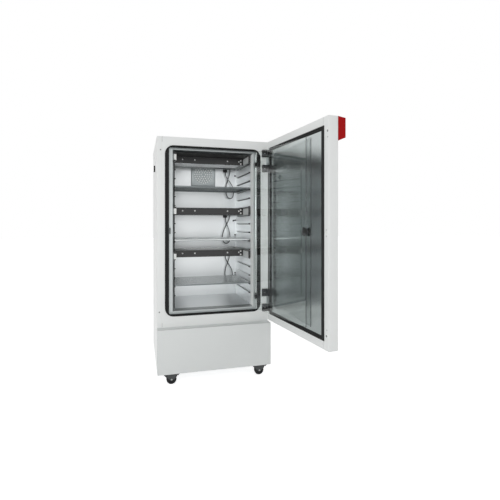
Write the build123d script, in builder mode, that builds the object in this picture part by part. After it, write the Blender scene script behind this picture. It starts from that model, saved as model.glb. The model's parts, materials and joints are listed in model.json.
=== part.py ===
from build123d import *
import math
import os

os.makedirs("parts", exist_ok=True)

# Upright growth chamber with an insulated door, an inner glass door, three lamp
# cassettes and three shelves. Millimetres, +Z up, front towards -Y, origin on the
# floor under the middle of the cabinet body. Both doors stand open at rest.

# cabinet body
bodyWidth = 925
bodyDepth = 800
bodyTop = 1983
castorHeight = 112
coverTop = 459
coverDepth = 84
sheet = 1.5
sideReturn = 36
rearReturn = 18
bendRadius = 3
baseSheet = 3
baseLip = 30
coverClearance = 0.3
coverFlange = 30

# chamber
chamberWidth = bodyWidth - 275
chamberFloor = coverTop + 137
chamberCeiling = bodyTop - 107
throatDepth = 55
chamberDepth = bodyDepth - 265
plenumDepth = 100
linerSheet = 1
wallSheet = 1.2

# throat between the front frame and the chamber
throatLip = 4
throatOuterHalf = chamberWidth / 2 + 45
throatFrontHalf = throatOuterHalf - throatLip
throatStepHalf = throatFrontHalf - 28
throatOuterBottom = chamberFloor - 35
throatOuterTop = chamberCeiling + 21
throatFrontBottom = throatOuterBottom + throatLip
throatFrontTop = throatOuterTop - throatLip
throatStepBottom = throatFrontBottom + 15
throatStepTop = throatFrontTop - 9
throatStepDepth = 22

# seals
gap = 16
sealThickness = 7.7
gasketHalf = throatFrontHalf + 34
gasketWidth = 32
gasketHeightWidth = 20
gasketTop = throatOuterTop + 18
gasketBottom = throatOuterBottom - 18
gasketCorner = 70
gasketInnerCorner = 12
doorGasketHalf = gasketHalf + 10
doorGasketWidth = 28
doorGasketBottom = gasketBottom - 19
doorGasketTop = gasketTop + 12
stripWidth = 14
stripThickness = 6.5

# rails, shelves and cassettes
railCount = 16
railFirst = chamberFloor + 97
railHeadroom = 73
railPitch = (chamberCeiling - railHeadroom - railFirst) / (railCount - 1)
railDepth = 16
railRise = 6
railStart = throatDepth + 15 - bodyDepth / 2
railLength = chamberDepth - 111
seat = 0.3
shelfSides = 8
shelfFront = railStart - 5
shelfDepth = chamberDepth - 60
shelfHeight = 12
shelfSheet = 1.5
shelfPlaces = {"shelf_top": 12, "shelf_mid": 6, "shelf_low": 1}
cassetteRails = {"top": 15, "mid": 9, "low": 4}
armWidth = 20
armHeight = 60
armFront = throatDepth + 1 - bodyDepth / 2
armBack = armFront + chamberDepth - 63
armWall = 2
barY = armFront + 184
barThickness = 12
reflectorSheet = 1.5
tubeRadius = 13
tubeCount = 4
tubeSpacing = (armBack - barY - 56) / tubeCount
tubeEndGap = 0.5

# outer door
doorBottom = 467
doorThickness = 72
doorAngle = 96.5
hingeInset = 7.5
hingeForward = 9.5
doorSkin = 1.5
doorCorner = 4
pinRadius = 3.5
pinClearance = 0.05
knuckleRadius = 6.2
blockWidth = 48
blockInset = 3
blockHeight = 62
blockGap = 66
hingeHeights = [doorBottom + 170, bodyTop - 163.5]
midHeight = (gasketTop + gasketBottom) / 2

# inner glass door
glassAngle = 103.5
glassHingeX = throatFrontHalf - 10
glassHingeY = 10 - bodyDepth / 2
glassStart = 7
glassWidth = glassHingeX + throatFrontHalf - 27
glassBottom = throatFrontBottom + 3
glassTop = throatFrontTop - 3
glassThickness = 6
glassBack = -5
glassHingeHeights = [glassBottom + 103.5, glassTop - 103.5]
glassKnuckle = 28
glassLug = 12.7
glassLugGap = 0.3
glassPinRadius = 2.5
glassBarrel = 6
knobInset = 22
knobRadius = 30
knobThickness = 13.5
spindleRadius = 5

# instrument housing on the outer door
housingWidth = 420
housingDepth = 57
housingLow = bodyTop - 159
housingFrontLow = bodyTop - 135
housingFrontHigh = bodyTop - 7
housingWall = 3
keyWidth = 24
keyHeight = 14
keyTravel = 1.5
keyClearance = 0.3

# castors
castorInset = 95
castorFrontY = 20 - bodyDepth / 2
castorRearY = bodyDepth / 2 - 80
wheelRadius = 40
wheelWidth = 28
castorTrail = 20
axleRadius = 5
kingpinRadius = 6
forkPlate = 3

# air circulation
fanRadius = 85
fanCoverWidth = 234
fanCoverHeight = 224
fanCoverTop = chamberCeiling - 4
fanCoverBottom = fanCoverTop - fanCoverHeight
fanHeight = (fanCoverTop + fanCoverBottom) / 2
fanCoverDepth = 12
shaftRadius = 4

# access port
portY = -50
portZ = fanHeight + 7
portRadius = 15
portWall = 4

# lamp cables
cableRadius = 3.5
cableX = chamberWidth / 2 - 63
plugX = cableX - 46
cableY = armBack + 40
drawnPitch = 74

# derived places
halfWidth = bodyWidth / 2
frontY = -bodyDepth / 2
backY = bodyDepth / 2
half = chamberWidth / 2
throatBack = frontY + throatDepth
chamberBack = throatBack + chamberDepth
plenumBack = chamberBack + plenumDepth
rearPanelY = backY - sheet
foamHalf = halfWidth - sheet
foamTop = bodyTop - sheet
foamFloor = coverTop
coverFront = frontY - coverDepth
doorHeight = bodyTop - doorBottom
doorIn = gap - hingeForward
doorOut = doorIn + doorThickness
doorEdge = -hingeInset
doorFree = bodyWidth - hingeInset
hingeX = halfWidth - hingeInset
hingeY = frontY - hingeForward
gasketTopHalf = (gasketTop - gasketBottom) / 2
gasketMiddle = (gasketTop + gasketBottom) / 2
shelfHalf = half - shelfSides


def swung(x, y, degrees):
    """Plane of a door: X runs from hinge to free edge, Y outwards, Z up."""
    turn = math.radians(degrees)
    return Plane(origin=(x, y, 0), x_dir=(-math.cos(turn), -math.sin(turn), 0), z_dir=(0, 0, 1))


def save(part, name):
    part.label = name
    export_step(part, "parts/" + name + ".step")


def between(low, high):
    """Centre and size of the block that spans two corners."""
    centre = tuple((a + b) / 2 for a, b in zip(low, high))
    size = tuple(abs(b - a) for a, b in zip(low, high))
    return centre, size


def block(low, high, mode=Mode.ADD):
    centre, size = between(low, high)
    with Locations(centre):
        Box(*size, mode=mode)


def railLevel(index):
    return railFirst + railPitch * index


# side panels, folded round the front and rear corners
with BuildPart() as sidePanels:
    with BuildSketch(Plane.XY.offset(castorHeight)) as panelPlan:
        RectangleRounded(bodyWidth, bodyDepth, bendRadius)
        Rectangle(2 * foamHalf, bodyDepth - 2 * sheet, mode=Mode.SUBTRACT)
        with Locations((0, frontY)):
            Rectangle(2 * (halfWidth - sideReturn), 4 * sheet, mode=Mode.SUBTRACT)
        with Locations((0, backY)):
            Rectangle(2 * (halfWidth - rearReturn), 4 * sheet, mode=Mode.SUBTRACT)
    extrude(amount=foamTop - castorHeight)
    block(
        (-foamHalf, frontY - 1, castorHeight - 1),
        (foamHalf, frontY + sheet + 1, coverTop - coverFlange),
        Mode.SUBTRACT,
    )
    with Locations((-halfWidth, portY, portZ)):
        Cylinder(portRadius + portWall + 0.5, 12, rotation=(0, 90, 0), mode=Mode.SUBTRACT)
save(sidePanels.part, "side_panels")

with BuildPart() as topPanel:
    with BuildSketch(Plane.XY.offset(foamTop)):
        RectangleRounded(bodyWidth, bodyDepth, bendRadius)
    extrude(amount=sheet)
save(topPanel.part, "top_panel")

# rear panel with louvre slots for the machine compartment
with BuildPart() as rearPanel:
    block((-foamHalf, rearPanelY - sheet, castorHeight + baseLip), (foamHalf, rearPanelY, foamTop))
    with BuildSketch(Plane.XZ.offset(-rearPanelY)) as louvres:
        with Locations((60, castorHeight + 218)):
            with GridLocations(1, 34, 1, 7):
                Rectangle(bodyWidth - 405, 10)
    extrude(amount=sheet * 2, mode=Mode.SUBTRACT)
save(rearPanel.part, "rear_panel")

frontInner = halfWidth - sideReturn - 0.3
with BuildPart() as frontFrame:
    block((-frontInner, frontY, coverTop), (frontInner, frontY + sheet, foamTop))
    block(
        (-throatOuterHalf, frontY - 1, throatOuterBottom),
        (throatOuterHalf, frontY + sheet + 1, throatOuterTop),
        Mode.SUBTRACT,
    )
save(frontFrame.part, "front_frame")

# insulation round the chamber and its air plenum
with BuildPart() as insulation:
    block((-foamHalf, frontY + sheet, foamFloor), (foamHalf, rearPanelY - sheet, foamTop))
    block(
        (-throatOuterHalf, frontY - 1, throatOuterBottom),
        (throatOuterHalf, throatBack, throatOuterTop),
        Mode.SUBTRACT,
    )
    block(
        (-half - linerSheet, frontY, chamberFloor - linerSheet),
        (half + linerSheet, plenumBack + linerSheet, chamberCeiling + linerSheet),
        Mode.SUBTRACT,
    )
    with Locations(((-half - halfWidth) / 2, portY, portZ)):
        Cylinder(portRadius + portWall, (halfWidth - half) + 20, rotation=(0, 90, 0), mode=Mode.SUBTRACT)
save(insulation.part, "insulation")

# chamber liner, one folded box that also closes the plenum behind the back wall
with BuildPart() as chamberLiner:
    block(
        (-half - linerSheet, throatBack, chamberFloor - linerSheet),
        (half + linerSheet, plenumBack + linerSheet, chamberCeiling + linerSheet),
    )
    block(
        (-half, throatBack - 1, chamberFloor),
        (half, plenumBack, chamberCeiling),
        Mode.SUBTRACT,
    )
    with Locations((-half, portY, portZ)):
        Cylinder(portRadius + portWall + seat, 12, rotation=(0, 90, 0), mode=Mode.SUBTRACT)
save(chamberLiner.part, "chamber_liner")

# stepped throat: straight lip, step for the glass, taper down to the chamber
throatStepY = frontY + throatStepDepth


with BuildPart() as throat:
    block(
        (-throatOuterHalf, frontY, throatOuterBottom),
        (throatOuterHalf, throatBack, throatOuterTop),
    )
    block(
        (-throatFrontHalf, frontY - 1, throatFrontBottom),
        (throatFrontHalf, throatStepY, throatFrontTop),
        Mode.SUBTRACT,
    )
    with BuildSketch(Plane.XZ.offset(-throatStepY)):
        with Locations((0, (throatStepBottom + throatStepTop) / 2)):
            Rectangle(2 * throatStepHalf, throatStepTop - throatStepBottom)
    with BuildSketch(Plane.XZ.offset(-throatBack)):
        with Locations((0, (chamberFloor + chamberCeiling) / 2)):
            Rectangle(chamberWidth, chamberCeiling - chamberFloor)
    loft(ruled=True, mode=Mode.SUBTRACT)
save(throat.part, "chamber_throat")

# ribs for the shelves, pressed in the liner's side walls
with BuildPart() as shelfRails:
    for side in (-1, 1):
        with BuildSketch(Plane.XZ.offset(-railStart)) as ribs:
            with Locations(*[(side * half, railLevel(k)) for k in range(railCount)]):
                Polygon(
                    (0, railRise),
                    (-side * (railDepth - 3), railRise),
                    (-side * railDepth, railRise - 3),
                    (-side * railDepth, 0),
                    (0, -7),
                    align=None,
                )
        extrude(amount=-railLength)
save(shelfRails.part, "shelf_rails")

# seals: rounded gasket on the front frame and the trim strip in the chamber's mouth
with BuildPart() as chamberSeals:
    with BuildSketch(Plane.XZ.offset(-frontY)) as gasketRing:
        with Locations((0, gasketMiddle)):
            RectangleRounded(2 * gasketHalf, 2 * gasketTopHalf, gasketCorner)
            RectangleRounded(
                2 * (gasketHalf - gasketWidth),
                2 * (gasketTopHalf - gasketHeightWidth),
                gasketInnerCorner,
                mode=Mode.SUBTRACT,
            )
    extrude(amount=sealThickness)
    gasketFront = chamberSeals.faces().sort_by(Axis.Y)[0]
    chamfer(gasketFront.outer_wire().edges(), length=2.5)
    armLevels = sorted(railLevel(k) + railRise + seat for k in cassetteRails.values())
    stripEnds = [chamberFloor] + [z + d for z in armLevels for d in (-1, armHeight + 1)]
    stripEnds = stripEnds + [chamberCeiling]
    for low, high in zip(stripEnds[0::2], stripEnds[1::2]):
        block((-half, throatBack, low), (-half + stripThickness, throatBack + stripWidth, high))
save(chamberSeals.part, "chamber_seals")

# chamber back wall with the fan inlet and the return slots
with BuildPart() as backWall:
    block((-half, chamberBack, chamberFloor), (half, chamberBack + wallSheet, chamberCeiling))
    with BuildSketch(Plane.XZ.offset(-chamberBack)) as wallHoles:
        with Locations((0, fanHeight)):
            Circle(fanRadius - 12)
        with Locations((0, chamberFloor + 42)):
            with GridLocations(64, 1, 8, 1):
                Rectangle(48, 10)
    extrude(amount=-wallSheet * 2, mode=Mode.SUBTRACT)
save(backWall.part, "back_wall")

# fan cover: shallow pan with rings of perforations
with BuildPart() as fanCover:
    block(
        (-fanCoverWidth / 2, chamberBack - fanCoverDepth, fanCoverBottom),
        (fanCoverWidth / 2, chamberBack, fanCoverTop),
    )
    coverFace = fanCover.faces().sort_by(Axis.Y)[0]
    chamfer(coverFace.edges(), length=4)
    block(
        (-fanCoverWidth / 2 + 6, chamberBack - fanCoverDepth + wallSheet, fanCoverBottom + 6),
        (fanCoverWidth / 2 - 6, chamberBack + 1, fanCoverTop - 6),
        Mode.SUBTRACT,
    )
    with BuildSketch(Plane.XZ.offset(-(chamberBack - fanCoverDepth))) as perforations:
        for ring, count in ((22, 6), (42, 12), (62, 18), (82, 24)):
            with Locations((0, fanHeight)):
                with PolarLocations(ring, count):
                    RegularPolygon(6.5, 6)
    extrude(amount=-wallSheet * 2, mode=Mode.SUBTRACT)
save(fanCover.part, "fan_cover")

# fan motor on the plenum's rear wall, with its shaft
motorFront = chamberBack + 58
with BuildPart() as fanMotor:
    with BuildSketch(Plane.XZ.offset(-plenumBack)):
        with Locations((0, fanHeight)):
            Circle(55)
    extrude(amount=4)
    with BuildSketch(Plane.XZ.offset(-plenumBack)):
        with Locations((0, fanHeight)):
            Circle(38)
    extrude(amount=plenumBack - motorFront)
    with BuildSketch(Plane.XZ.offset(-motorFront)):
        with Locations((0, fanHeight)):
            Circle(shaftRadius)
    extrude(amount=42)
save(fanMotor.part, "fan_motor")

# radial fan wheel: back disc, hub, curved blades and inlet ring
wheelBack = motorFront - 3
bladeDepth = 32
bladeCount = 9
with BuildPart() as fanWheel:
    with BuildSketch(Plane.XZ.offset(-wheelBack)):
        with Locations((0, fanHeight)):
            Circle(fanRadius)
    extrude(amount=2)
    with BuildSketch(Plane.XZ.offset(-wheelBack)):
        with Locations((0, fanHeight)):
            Circle(16)
    extrude(amount=24)
    with BuildSketch(Plane.XZ.offset(-(wheelBack - 2))) as blades:
        for index in range(bladeCount):
            start = 360 / bladeCount * index
            inner = math.radians(start)
            middle = math.radians(start - 14)
            outer = math.radians(start - 38)
            bladeMiddle = (fanRadius + 36) / 2
            with BuildLine():
                arc = ThreePointArc(
                    (36 * math.cos(inner), fanHeight + 36 * math.sin(inner)),
                    (bladeMiddle * math.cos(middle), fanHeight + bladeMiddle * math.sin(middle)),
                    ((fanRadius - 3) * math.cos(outer), fanHeight + (fanRadius - 3) * math.sin(outer)),
                )
                offset(arc, amount=0.8, side=Side.BOTH)
            make_face()
    extrude(amount=bladeDepth)
    with BuildSketch(Plane.XZ.offset(-(wheelBack - 2 - bladeDepth))):
        with Locations((0, fanHeight)):
            Circle(fanRadius)
            Circle(52, mode=Mode.SUBTRACT)
    extrude(amount=1.5)
    with BuildSketch(Plane.XZ.offset(-(wheelBack + 1))):
        with Locations((0, fanHeight)):
            Circle(shaftRadius + pinClearance)
    extrude(amount=60, mode=Mode.SUBTRACT)
save(fanWheel.part, "circulation_fan")

# evaporator in the plenum: finned block on the rear wall
coilHalf = half - 95
coilBottom = chamberFloor + 164
coilTop = fanHeight - 340
coilRim = 15
finPitch = 22
with BuildPart() as evaporator:
    block((-coilHalf, chamberBack + 26, coilBottom), (coilHalf, plenumBack, coilTop))
    with BuildSketch(Plane.XY.offset(coilBottom + coilRim)) as finGaps:
        with Locations((0, chamberBack + 45)):
            with GridLocations(finPitch, 1, int((2 * coilHalf - 20) / finPitch), 1):
                Rectangle(finPitch - 6, 60)
    extrude(amount=coilTop - coilBottom - 2 * coilRim, mode=Mode.SUBTRACT)
save(evaporator.part, "evaporator")

# glass door fittings on the cabinet: two lug blocks with pins, and the strike
with BuildPart() as glassFittings:
    for level in glassHingeHeights:
        lugReach = glassKnuckle / 2 + glassLugGap
        with BuildSketch(Plane.XY.offset(level - lugReach - glassLug)) as lugPlan:
            with Locations((glassHingeX, glassHingeY)):
                Circle(glassBarrel)
                with Locations(((throatFrontHalf - glassHingeX) / 2, 0)):
                    Rectangle(throatFrontHalf - glassHingeX, 2 * glassBarrel)
        extrude(amount=glassLug)
        extrude(lugPlan.sketch.moved(Location((0, 0, glassLug + 2 * lugReach))), amount=glassLug)
        block(
            (throatFrontHalf - 3.4, frontY + 2, level - lugReach - glassLug),
            (throatFrontHalf, glassHingeY + 9, level + lugReach + glassLug),
        )
        with Locations((glassHingeX, glassHingeY, level)):
            Cylinder(glassPinRadius, 2 * lugReach + 2)
    block(
        (-throatFrontHalf, frontY + 2, midHeight - 24.5),
        (-throatFrontHalf + 10, frontY + 15.5, midHeight + 24.5),
    )
save(glassFittings.part, "glass_fittings")

# lamp cassettes: two channel arms, black front bar, rear bar, reflector and cable box
reflectorDrop = 4
cassetteParts = {}
for name, rail in cassetteRails.items():
    low = railLevel(rail) + railRise + seat
    high = low + armHeight
    with BuildPart() as cassette:
        for side in (-1, 1):
            outerX = side * (half - 0.5)
            innerX = side * (half - armWidth)
            block((innerX, armFront, low), (outerX, armBack, high))
            block(
                (innerX + side * armWall, armFront + 5, low + armWall),
                (outerX + side, armBack + 1, high - armWall),
                Mode.SUBTRACT,
            )
        block(
            (-half + armWidth, barY - barThickness / 2, low),
            (half - armWidth, barY + barThickness / 2, high),
        )
        block((-half + armWidth, armBack - barThickness, low), (half - armWidth, armBack, high))
        with BuildSketch(Plane.YZ.offset(-half + armWidth)) as reflector:
            with BuildLine():
                Polyline(
                    (barY, high - reflectorDrop),
                    (barY, high - reflectorDrop - reflectorSheet),
                    (barY + 40, high - reflectorDrop - 14),
                    (armBack - 46, high - reflectorDrop - 14),
                    (armBack - 6, high - reflectorDrop - reflectorSheet),
                    (armBack - 6, high - reflectorDrop),
                    (armBack - 46, high - reflectorDrop - 14 + reflectorSheet),
                    (barY + 40, high - reflectorDrop - 14 + reflectorSheet),
                    close=True,
                )
            make_face()
        extrude(amount=chamberWidth - 2 * armWidth)
        block((cableX - 14, armBack - 1, low + 44), (cableX + 14, cableY + 12, high - 2))
        with BuildSketch(Plane.XY.offset(low + 38)):
            with Locations((cableX, cableY)):
                Circle(6.5)
        extrude(amount=7)
    save(cassette.part, "cassette_" + name)

# fluorescent tubes under each reflector, between the arms
tubeDrop = 34
with BuildPart() as lampTubes:
    for rail in cassetteRails.values():
        level = railLevel(rail) + railRise + seat + armHeight - tubeDrop
        tubeMiddle = (barY + armBack) / 2
        with BuildSketch(Plane.YZ.offset(-half + armWidth + tubeEndGap)) as tubeEnds:
            with Locations((tubeMiddle, level - 6)):
                with GridLocations(tubeSpacing, 1, tubeCount, 1):
                    Circle(tubeRadius)
        extrude(amount=chamberWidth - 2 * armWidth - 2 * tubeEndGap)
save(lampTubes.part, "lamp_tubes")

# wall sockets with the angled plugs of the lamp cables
socketDepth = 8
plugFace = chamberBack - socketDepth
plugDepth = 24
plugHalf = 13
with BuildPart() as lampSockets:
    for rail in cassetteRails.values():
        level = railLevel(rail) + railRise + seat - 1
        with BuildSketch(Plane.XZ.offset(-chamberBack)):
            with Locations((plugX, level)):
                RectangleRounded(40, 40, 6)
        extrude(amount=socketDepth)
save(lampSockets.part, "lamp_sockets")

nozzle = 12
with BuildPart() as lampPlugs:
    for rail in cassetteRails.values():
        level = railLevel(rail) + railRise + seat - 1
        with BuildSketch(Plane.XZ.offset(-plugFace)):
            with Locations((plugX, level)):
                Circle(plugHalf)
        extrude(amount=plugDepth)
        with BuildSketch(Plane.XY.offset(level)):
            with Locations((plugX, cableY)):
                Circle(5.5)
        extrude(amount=-(plugHalf + nozzle))
save(lampPlugs.part, "lamp_plugs")

# lamp cables: each hangs in a crossed loop behind the shelves
cableShape = {
    "top": [(0, 0, 0), (0, 0, -58), (-20, 6, -130), (-40, 4, -190), (-42, 0, -240),
            (-38, -4, -284), (-18, -7, -314), (12, -8, -318), (32, -9, -288), (34, -10, -242),
            (20, -10, -190), (-20, -10, -134), (-46, 0, -94)],
    "mid": [(0, 0, 0), (0, 0, -54), (-28, 6, -118), (-62, 4, -178), (-78, 0, -232),
            (-76, -4, -278), (-58, -7, -309), (-28, -9, -313), (-6, -10, -286), (-2, -10, -244),
            (-10, -10, -190), (-30, -10, -134), (-46, 0, -94)],
    "low": [(0, 0, 0), (0, 0, -56), (-22, 6, -128), (-46, 4, -186), (-52, 0, -236),
            (-48, -4, -276), (-28, -7, -304), (2, -9, -306), (20, -10, -276), (22, -10, -236),
            (12, -10, -190), (-22, -10, -134), (-46, 0, -94)],
}
for name, rail in cassetteRails.items():
    low = railLevel(rail) + railRise + seat
    drop = railPitch / drawnPitch
    points = [Vector(cableX + x, cableY + y, low + 38 + z * drop) for x, y, z in cableShape[name]]
    points.append(Vector(plugX, cableY, low - 1 - plugHalf - nozzle))
    radii = []
    for before, here, after in zip(points, points[1:], points[2:]):
        turn = math.radians((here - before).get_angle(after - here))
        shorter = min((here - before).length, (after - here).length)
        radii.append(0.45 * shorter / math.tan(turn / 2))
    print("lamp cable", name, "radii", [round(r, 1) for r in radii])
    with BuildPart() as cable:
        with BuildLine() as route:
            FilletPolyline(*points, radius=radii)
        with BuildSketch(Plane(origin=points[0], z_dir=points[1] - points[0])):
            Circle(cableRadius)
        sweep()
    length = route.wire().length
    print("lamp cable", name, "length", round(length, 1), "volume ratio",
          round(cable.part.volume / (math.pi * cableRadius**2 * length), 5))
    save(cable.part, "lamp_cable_" + name)

# cover over the machine compartment, flush with the closed door
with BuildPart() as lowerCover:
    block((-halfWidth, coverFront, castorHeight), (halfWidth, frontY, coverTop))
    coverCorners = lowerCover.edges().filter_by(Axis.Z).group_by(Axis.Y)[0]
    fillet(coverCorners, radius=6)
    block(
        (-foamHalf, coverFront + sheet, castorHeight - 1),
        (foamHalf, frontY + 1, coverTop - sheet),
        Mode.SUBTRACT,
    )
save(lowerCover.part, "lower_cover")

# base tray with the castor plates and kingpins
castorX = halfWidth - castorInset
castorPlaces = {
    "fl": (-castorX, castorFrontY), "fr": (castorX, castorFrontY),
    "rl": (-castorX, castorRearY), "rr": (castorX, castorRearY),
}
crownTop = 99.7
crownBottom = 88
with BuildPart() as baseFrame:
    baseHalf = foamHalf - coverClearance
    baseFront = coverFront + sheet + coverClearance
    baseBack = rearPanelY - 3
    block((-baseHalf, baseFront, castorHeight), (baseHalf, baseBack, castorHeight + baseLip))
    block(
        (-baseHalf + baseSheet, baseFront + baseSheet, castorHeight + baseSheet),
        (baseHalf - baseSheet, baseBack - baseSheet, castorHeight + baseLip + 1),
        Mode.SUBTRACT,
    )
    for x, y in castorPlaces.values():
        with BuildSketch(Plane.XY.offset(castorHeight - seat)):
            with Locations((x, y)):
                RectangleRounded(84, 84, 8)
        extrude(amount=seat - 4)
        with BuildSketch(Plane.XY.offset(castorHeight - 4)):
            with Locations((x, y)):
                Circle(22)
        extrude(amount=-(castorHeight - 4 - crownTop - 0.3))
        with BuildSketch(Plane.XY.offset(crownTop + 0.3)):
            with Locations((x, y)):
                Circle(kingpinRadius)
        extrude(amount=-(crownTop - crownBottom + 0.6))
        with BuildSketch(Plane.XY.offset(crownBottom - 0.3)):
            with Locations((x, y)):
                Circle(9)
        extrude(amount=-3.5)
save(baseFrame.part, "base_frame")

# castors: forged crown and two leg plates, wheel on a fixed axle. The front pair trails
# sideways and has a toe pedal beside the wheel and a fixed toe plate opposite
legX = wheelWidth / 2 + 2
wheelY = -castorTrail
pedalY = wheelY - 39
pedalZ = wheelRadius + 27
pedalRodRadius = 3
pedalHubRadius = 5.5
toeWidth = 56
for tag, (x, y) in castorPlaces.items():
    braked = tag in ("fl", "fr")
    place = Location((x, y, 0), (0, 0, 90 if braked else 0))
    with BuildPart() as fork:
        with BuildSketch(Plane.XY.offset(crownBottom)):
            Circle(28)
            with Locations((0, -18)):
                Rectangle(2 * (legX + forkPlate), 36)
        extrude(amount=crownTop - crownBottom)
        for side in (-1, 1):
            with BuildSketch(Plane.YZ.offset(side * (legX + forkPlate / 2))):
                with BuildLine():
                    Polyline(
                        (16, crownTop - 3),
                        (16, crownBottom - 4),
                        (22, pedalZ + 5),
                        (20, pedalZ - 5),
                        (wheelY + 12, wheelRadius - 6),
                        (wheelY + 5, wheelRadius - 12),
                        (wheelY - 5, wheelRadius - 12),
                        (wheelY - 12, wheelRadius - 6),
                        (pedalY - 6, pedalZ - 5),
                        (pedalY - 6, pedalZ + 5),
                        (-36, crownBottom + 2),
                        (-36, crownTop - 3),
                        close=True,
                    )
                make_face()
            extrude(amount=forkPlate / 2, both=True)
        with Locations((0, wheelY, wheelRadius)):
            Cylinder(axleRadius, 2 * (legX + forkPlate) + 6, rotation=(0, 90, 0))
        if braked:
            with Locations((0, pedalY, pedalZ)):
                Cylinder(pedalRodRadius, 2 * (legX + forkPlate), rotation=(0, 90, 0))
            with BuildSketch(Plane.YZ) as toePlate:
                with BuildLine():
                    Polyline((18, pedalZ - 3), (22, pedalZ - 6), (48, pedalZ + 19), (44, pedalZ + 22), close=True)
                make_face()
            extrude(amount=toeWidth / 2, both=True)
        with Locations((0, 0, crownBottom)):
            Cylinder(kingpinRadius + pinClearance, 40, mode=Mode.SUBTRACT)
    save(fork.part.moved(place), "castor_fork_" + tag)

    with BuildPart() as wheel:
        with BuildSketch(Plane.YZ) as tread:
            with Locations((wheelY, wheelRadius)):
                Circle(wheelRadius)
        extrude(amount=wheelWidth / 2, both=True)
        chamfer(wheel.edges().filter_by(GeomType.CIRCLE), length=4, length2=2.5)
        for side in (-1, 1):
            with BuildSketch(Plane.YZ.offset(side * wheelWidth / 2)):
                with Locations((wheelY, wheelRadius)):
                    Circle(27)
                    Circle(12, mode=Mode.SUBTRACT)
            extrude(amount=-side * 7, mode=Mode.SUBTRACT)
        with Locations((0, wheelY, wheelRadius)):
            Cylinder(axleRadius + pinClearance, wheelWidth + 2, rotation=(0, 90, 0), mode=Mode.SUBTRACT)
    save(wheel.part.moved(place), "castor_wheel_" + tag)

    if braked:
        with BuildPart() as pedal:
            with Locations((0, pedalY, pedalZ)):
                Cylinder(pedalHubRadius, 2 * legX - 1, rotation=(0, 90, 0))
            with BuildSketch(Plane.YZ) as pedalArm:
                with BuildLine():
                    Polyline(
                        (pedalY + 2, pedalZ + 4),
                        (pedalY - 3.5, pedalZ - 3.5),
                        (pedalY - 12, pedalZ + 4),
                        (pedalY - 9, pedalZ + 9.5),
                        close=True,
                    )
                make_face()
            extrude(amount=legX - 1, both=True)
            with BuildSketch(Plane.YZ) as toePedal:
                with BuildLine():
                    Polyline(
                        (pedalY - 9, pedalZ + 9.5),
                        (pedalY - 12, pedalZ + 4),
                        (pedalY - 32, pedalZ + 22),
                        (pedalY - 28.5, pedalZ + 25.5),
                        close=True,
                    )
                make_face()
            extrude(amount=toeWidth / 2, both=True)
            with Locations((0, pedalY, pedalZ)):
                Cylinder(pedalRodRadius + pinClearance, 2 * legX, rotation=(0, 90, 0), mode=Mode.SUBTRACT)
        save(pedal.part.moved(place), "brake_pedal_" + tag)

# shelves: perforated trays with turned-down rims, resting on the ribs
shelfBack = shelfFront + shelfDepth
slotPitch = (2 * shelfHalf - 82) / 6
rowPitch = (shelfDepth - 79) / 6
for name, rail in shelfPlaces.items():
    low = railLevel(rail) + railRise + seat
    high = low + shelfHeight
    with BuildPart() as shelf:
        block((-shelfHalf, shelfFront, low), (shelfHalf, shelfBack, high))
        block(
            (-shelfHalf + shelfSheet, shelfFront + shelfSheet, low - 1),
            (shelfHalf - shelfSheet, shelfBack - shelfSheet, high - shelfSheet),
            Mode.SUBTRACT,
        )
        with BuildSketch(Plane.XY.offset(high)) as slots:
            with Locations((0, (shelfFront + shelfBack) / 2)):
                with GridLocations(slotPitch, rowPitch, 6, 6):
                    Rectangle(slotPitch - 20, 12)
        extrude(amount=-shelfSheet * 2, mode=Mode.SUBTRACT)
    save(shelf.part, name)

# access port through the left wall: outer ring, sleeve and inner ring
portReach = foamHalf - half
with BuildPart() as portSleeve:
    with BuildSketch(Plane.YZ.offset(-half)):
        with Locations((portY, portZ)):
            Circle(portRadius + portWall)
    extrude(amount=-(halfWidth - half))
    with BuildSketch(Plane.YZ.offset(-halfWidth)):
        with Locations((portY, portZ)):
            Circle(28.5)
    extrude(amount=-4)
    with BuildSketch(Plane.YZ.offset(-half)):
        with Locations((portY, portZ)):
            Circle(23)
    extrude(amount=2)
    with BuildSketch(Plane.YZ.offset(-half + 5)):
        with Locations((portY, portZ)):
            Circle(portRadius)
    extrude(amount=-(halfWidth - half) - 20, mode=Mode.SUBTRACT)
save(portSleeve.part, "port_sleeve")

plugFront = -halfWidth - 4 - seat
with BuildPart() as accessPlug:
    with BuildSketch(Plane.YZ.offset(plugFront)):
        with Locations((portY, portZ)):
            Circle(portRadius + 5)
    extrude(amount=-9)
    outerRim = accessPlug.faces().sort_by(Axis.X)[0]
    fillet(outerRim.edges(), radius=3)
    with BuildSketch(Plane.YZ.offset(plugFront)):
        with Locations((portY, portZ)):
            Circle(portRadius - 0.3)
    extrude(amount=100, taper=0.05)
save(accessPlug.part, "access_plug")

# refrigeration unit on the base tray
trayTop = castorHeight + baseSheet
with BuildPart() as compressor:
    with BuildSketch(Plane.XZ) as potHalf:
        with BuildLine():
            Polyline((0, trayTop + 25), (88, trayTop + 25))
            Spline((88, trayTop + 25), (104, trayTop + 60), (106, trayTop + 120))
            Line((106, trayTop + 120), (106, trayTop + 128))
            Spline((106, trayTop + 128), (98, trayTop + 190), (0, trayTop + 224))
            Line((0, trayTop + 224), (0, trayTop + 25))
        make_face()
    revolve(axis=Axis.Z)
    block((-105, -80, trayTop + 18), (105, 80, trayTop + 26))
    for x in (-85, 85):
        for y in (-60, 60):
            with Locations((x, y, trayTop + 9)):
                Cylinder(12, 18)
compressorPlace = Location((-190, 120, 0))
save(compressor.part.moved(compressorPlace), "compressor")

with BuildPart() as condenser:
    block((60, 20, trayTop), (380, 110, trayTop + 260))
    with BuildSketch(Plane.XY.offset(trayTop + 12)) as condenserGaps:
        with Locations((220, 65)):
            with GridLocations(20, 62, 14, 2):
                Rectangle(14, 60)
    extrude(amount=236, mode=Mode.SUBTRACT)
save(condenser.part, "condenser")

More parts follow.
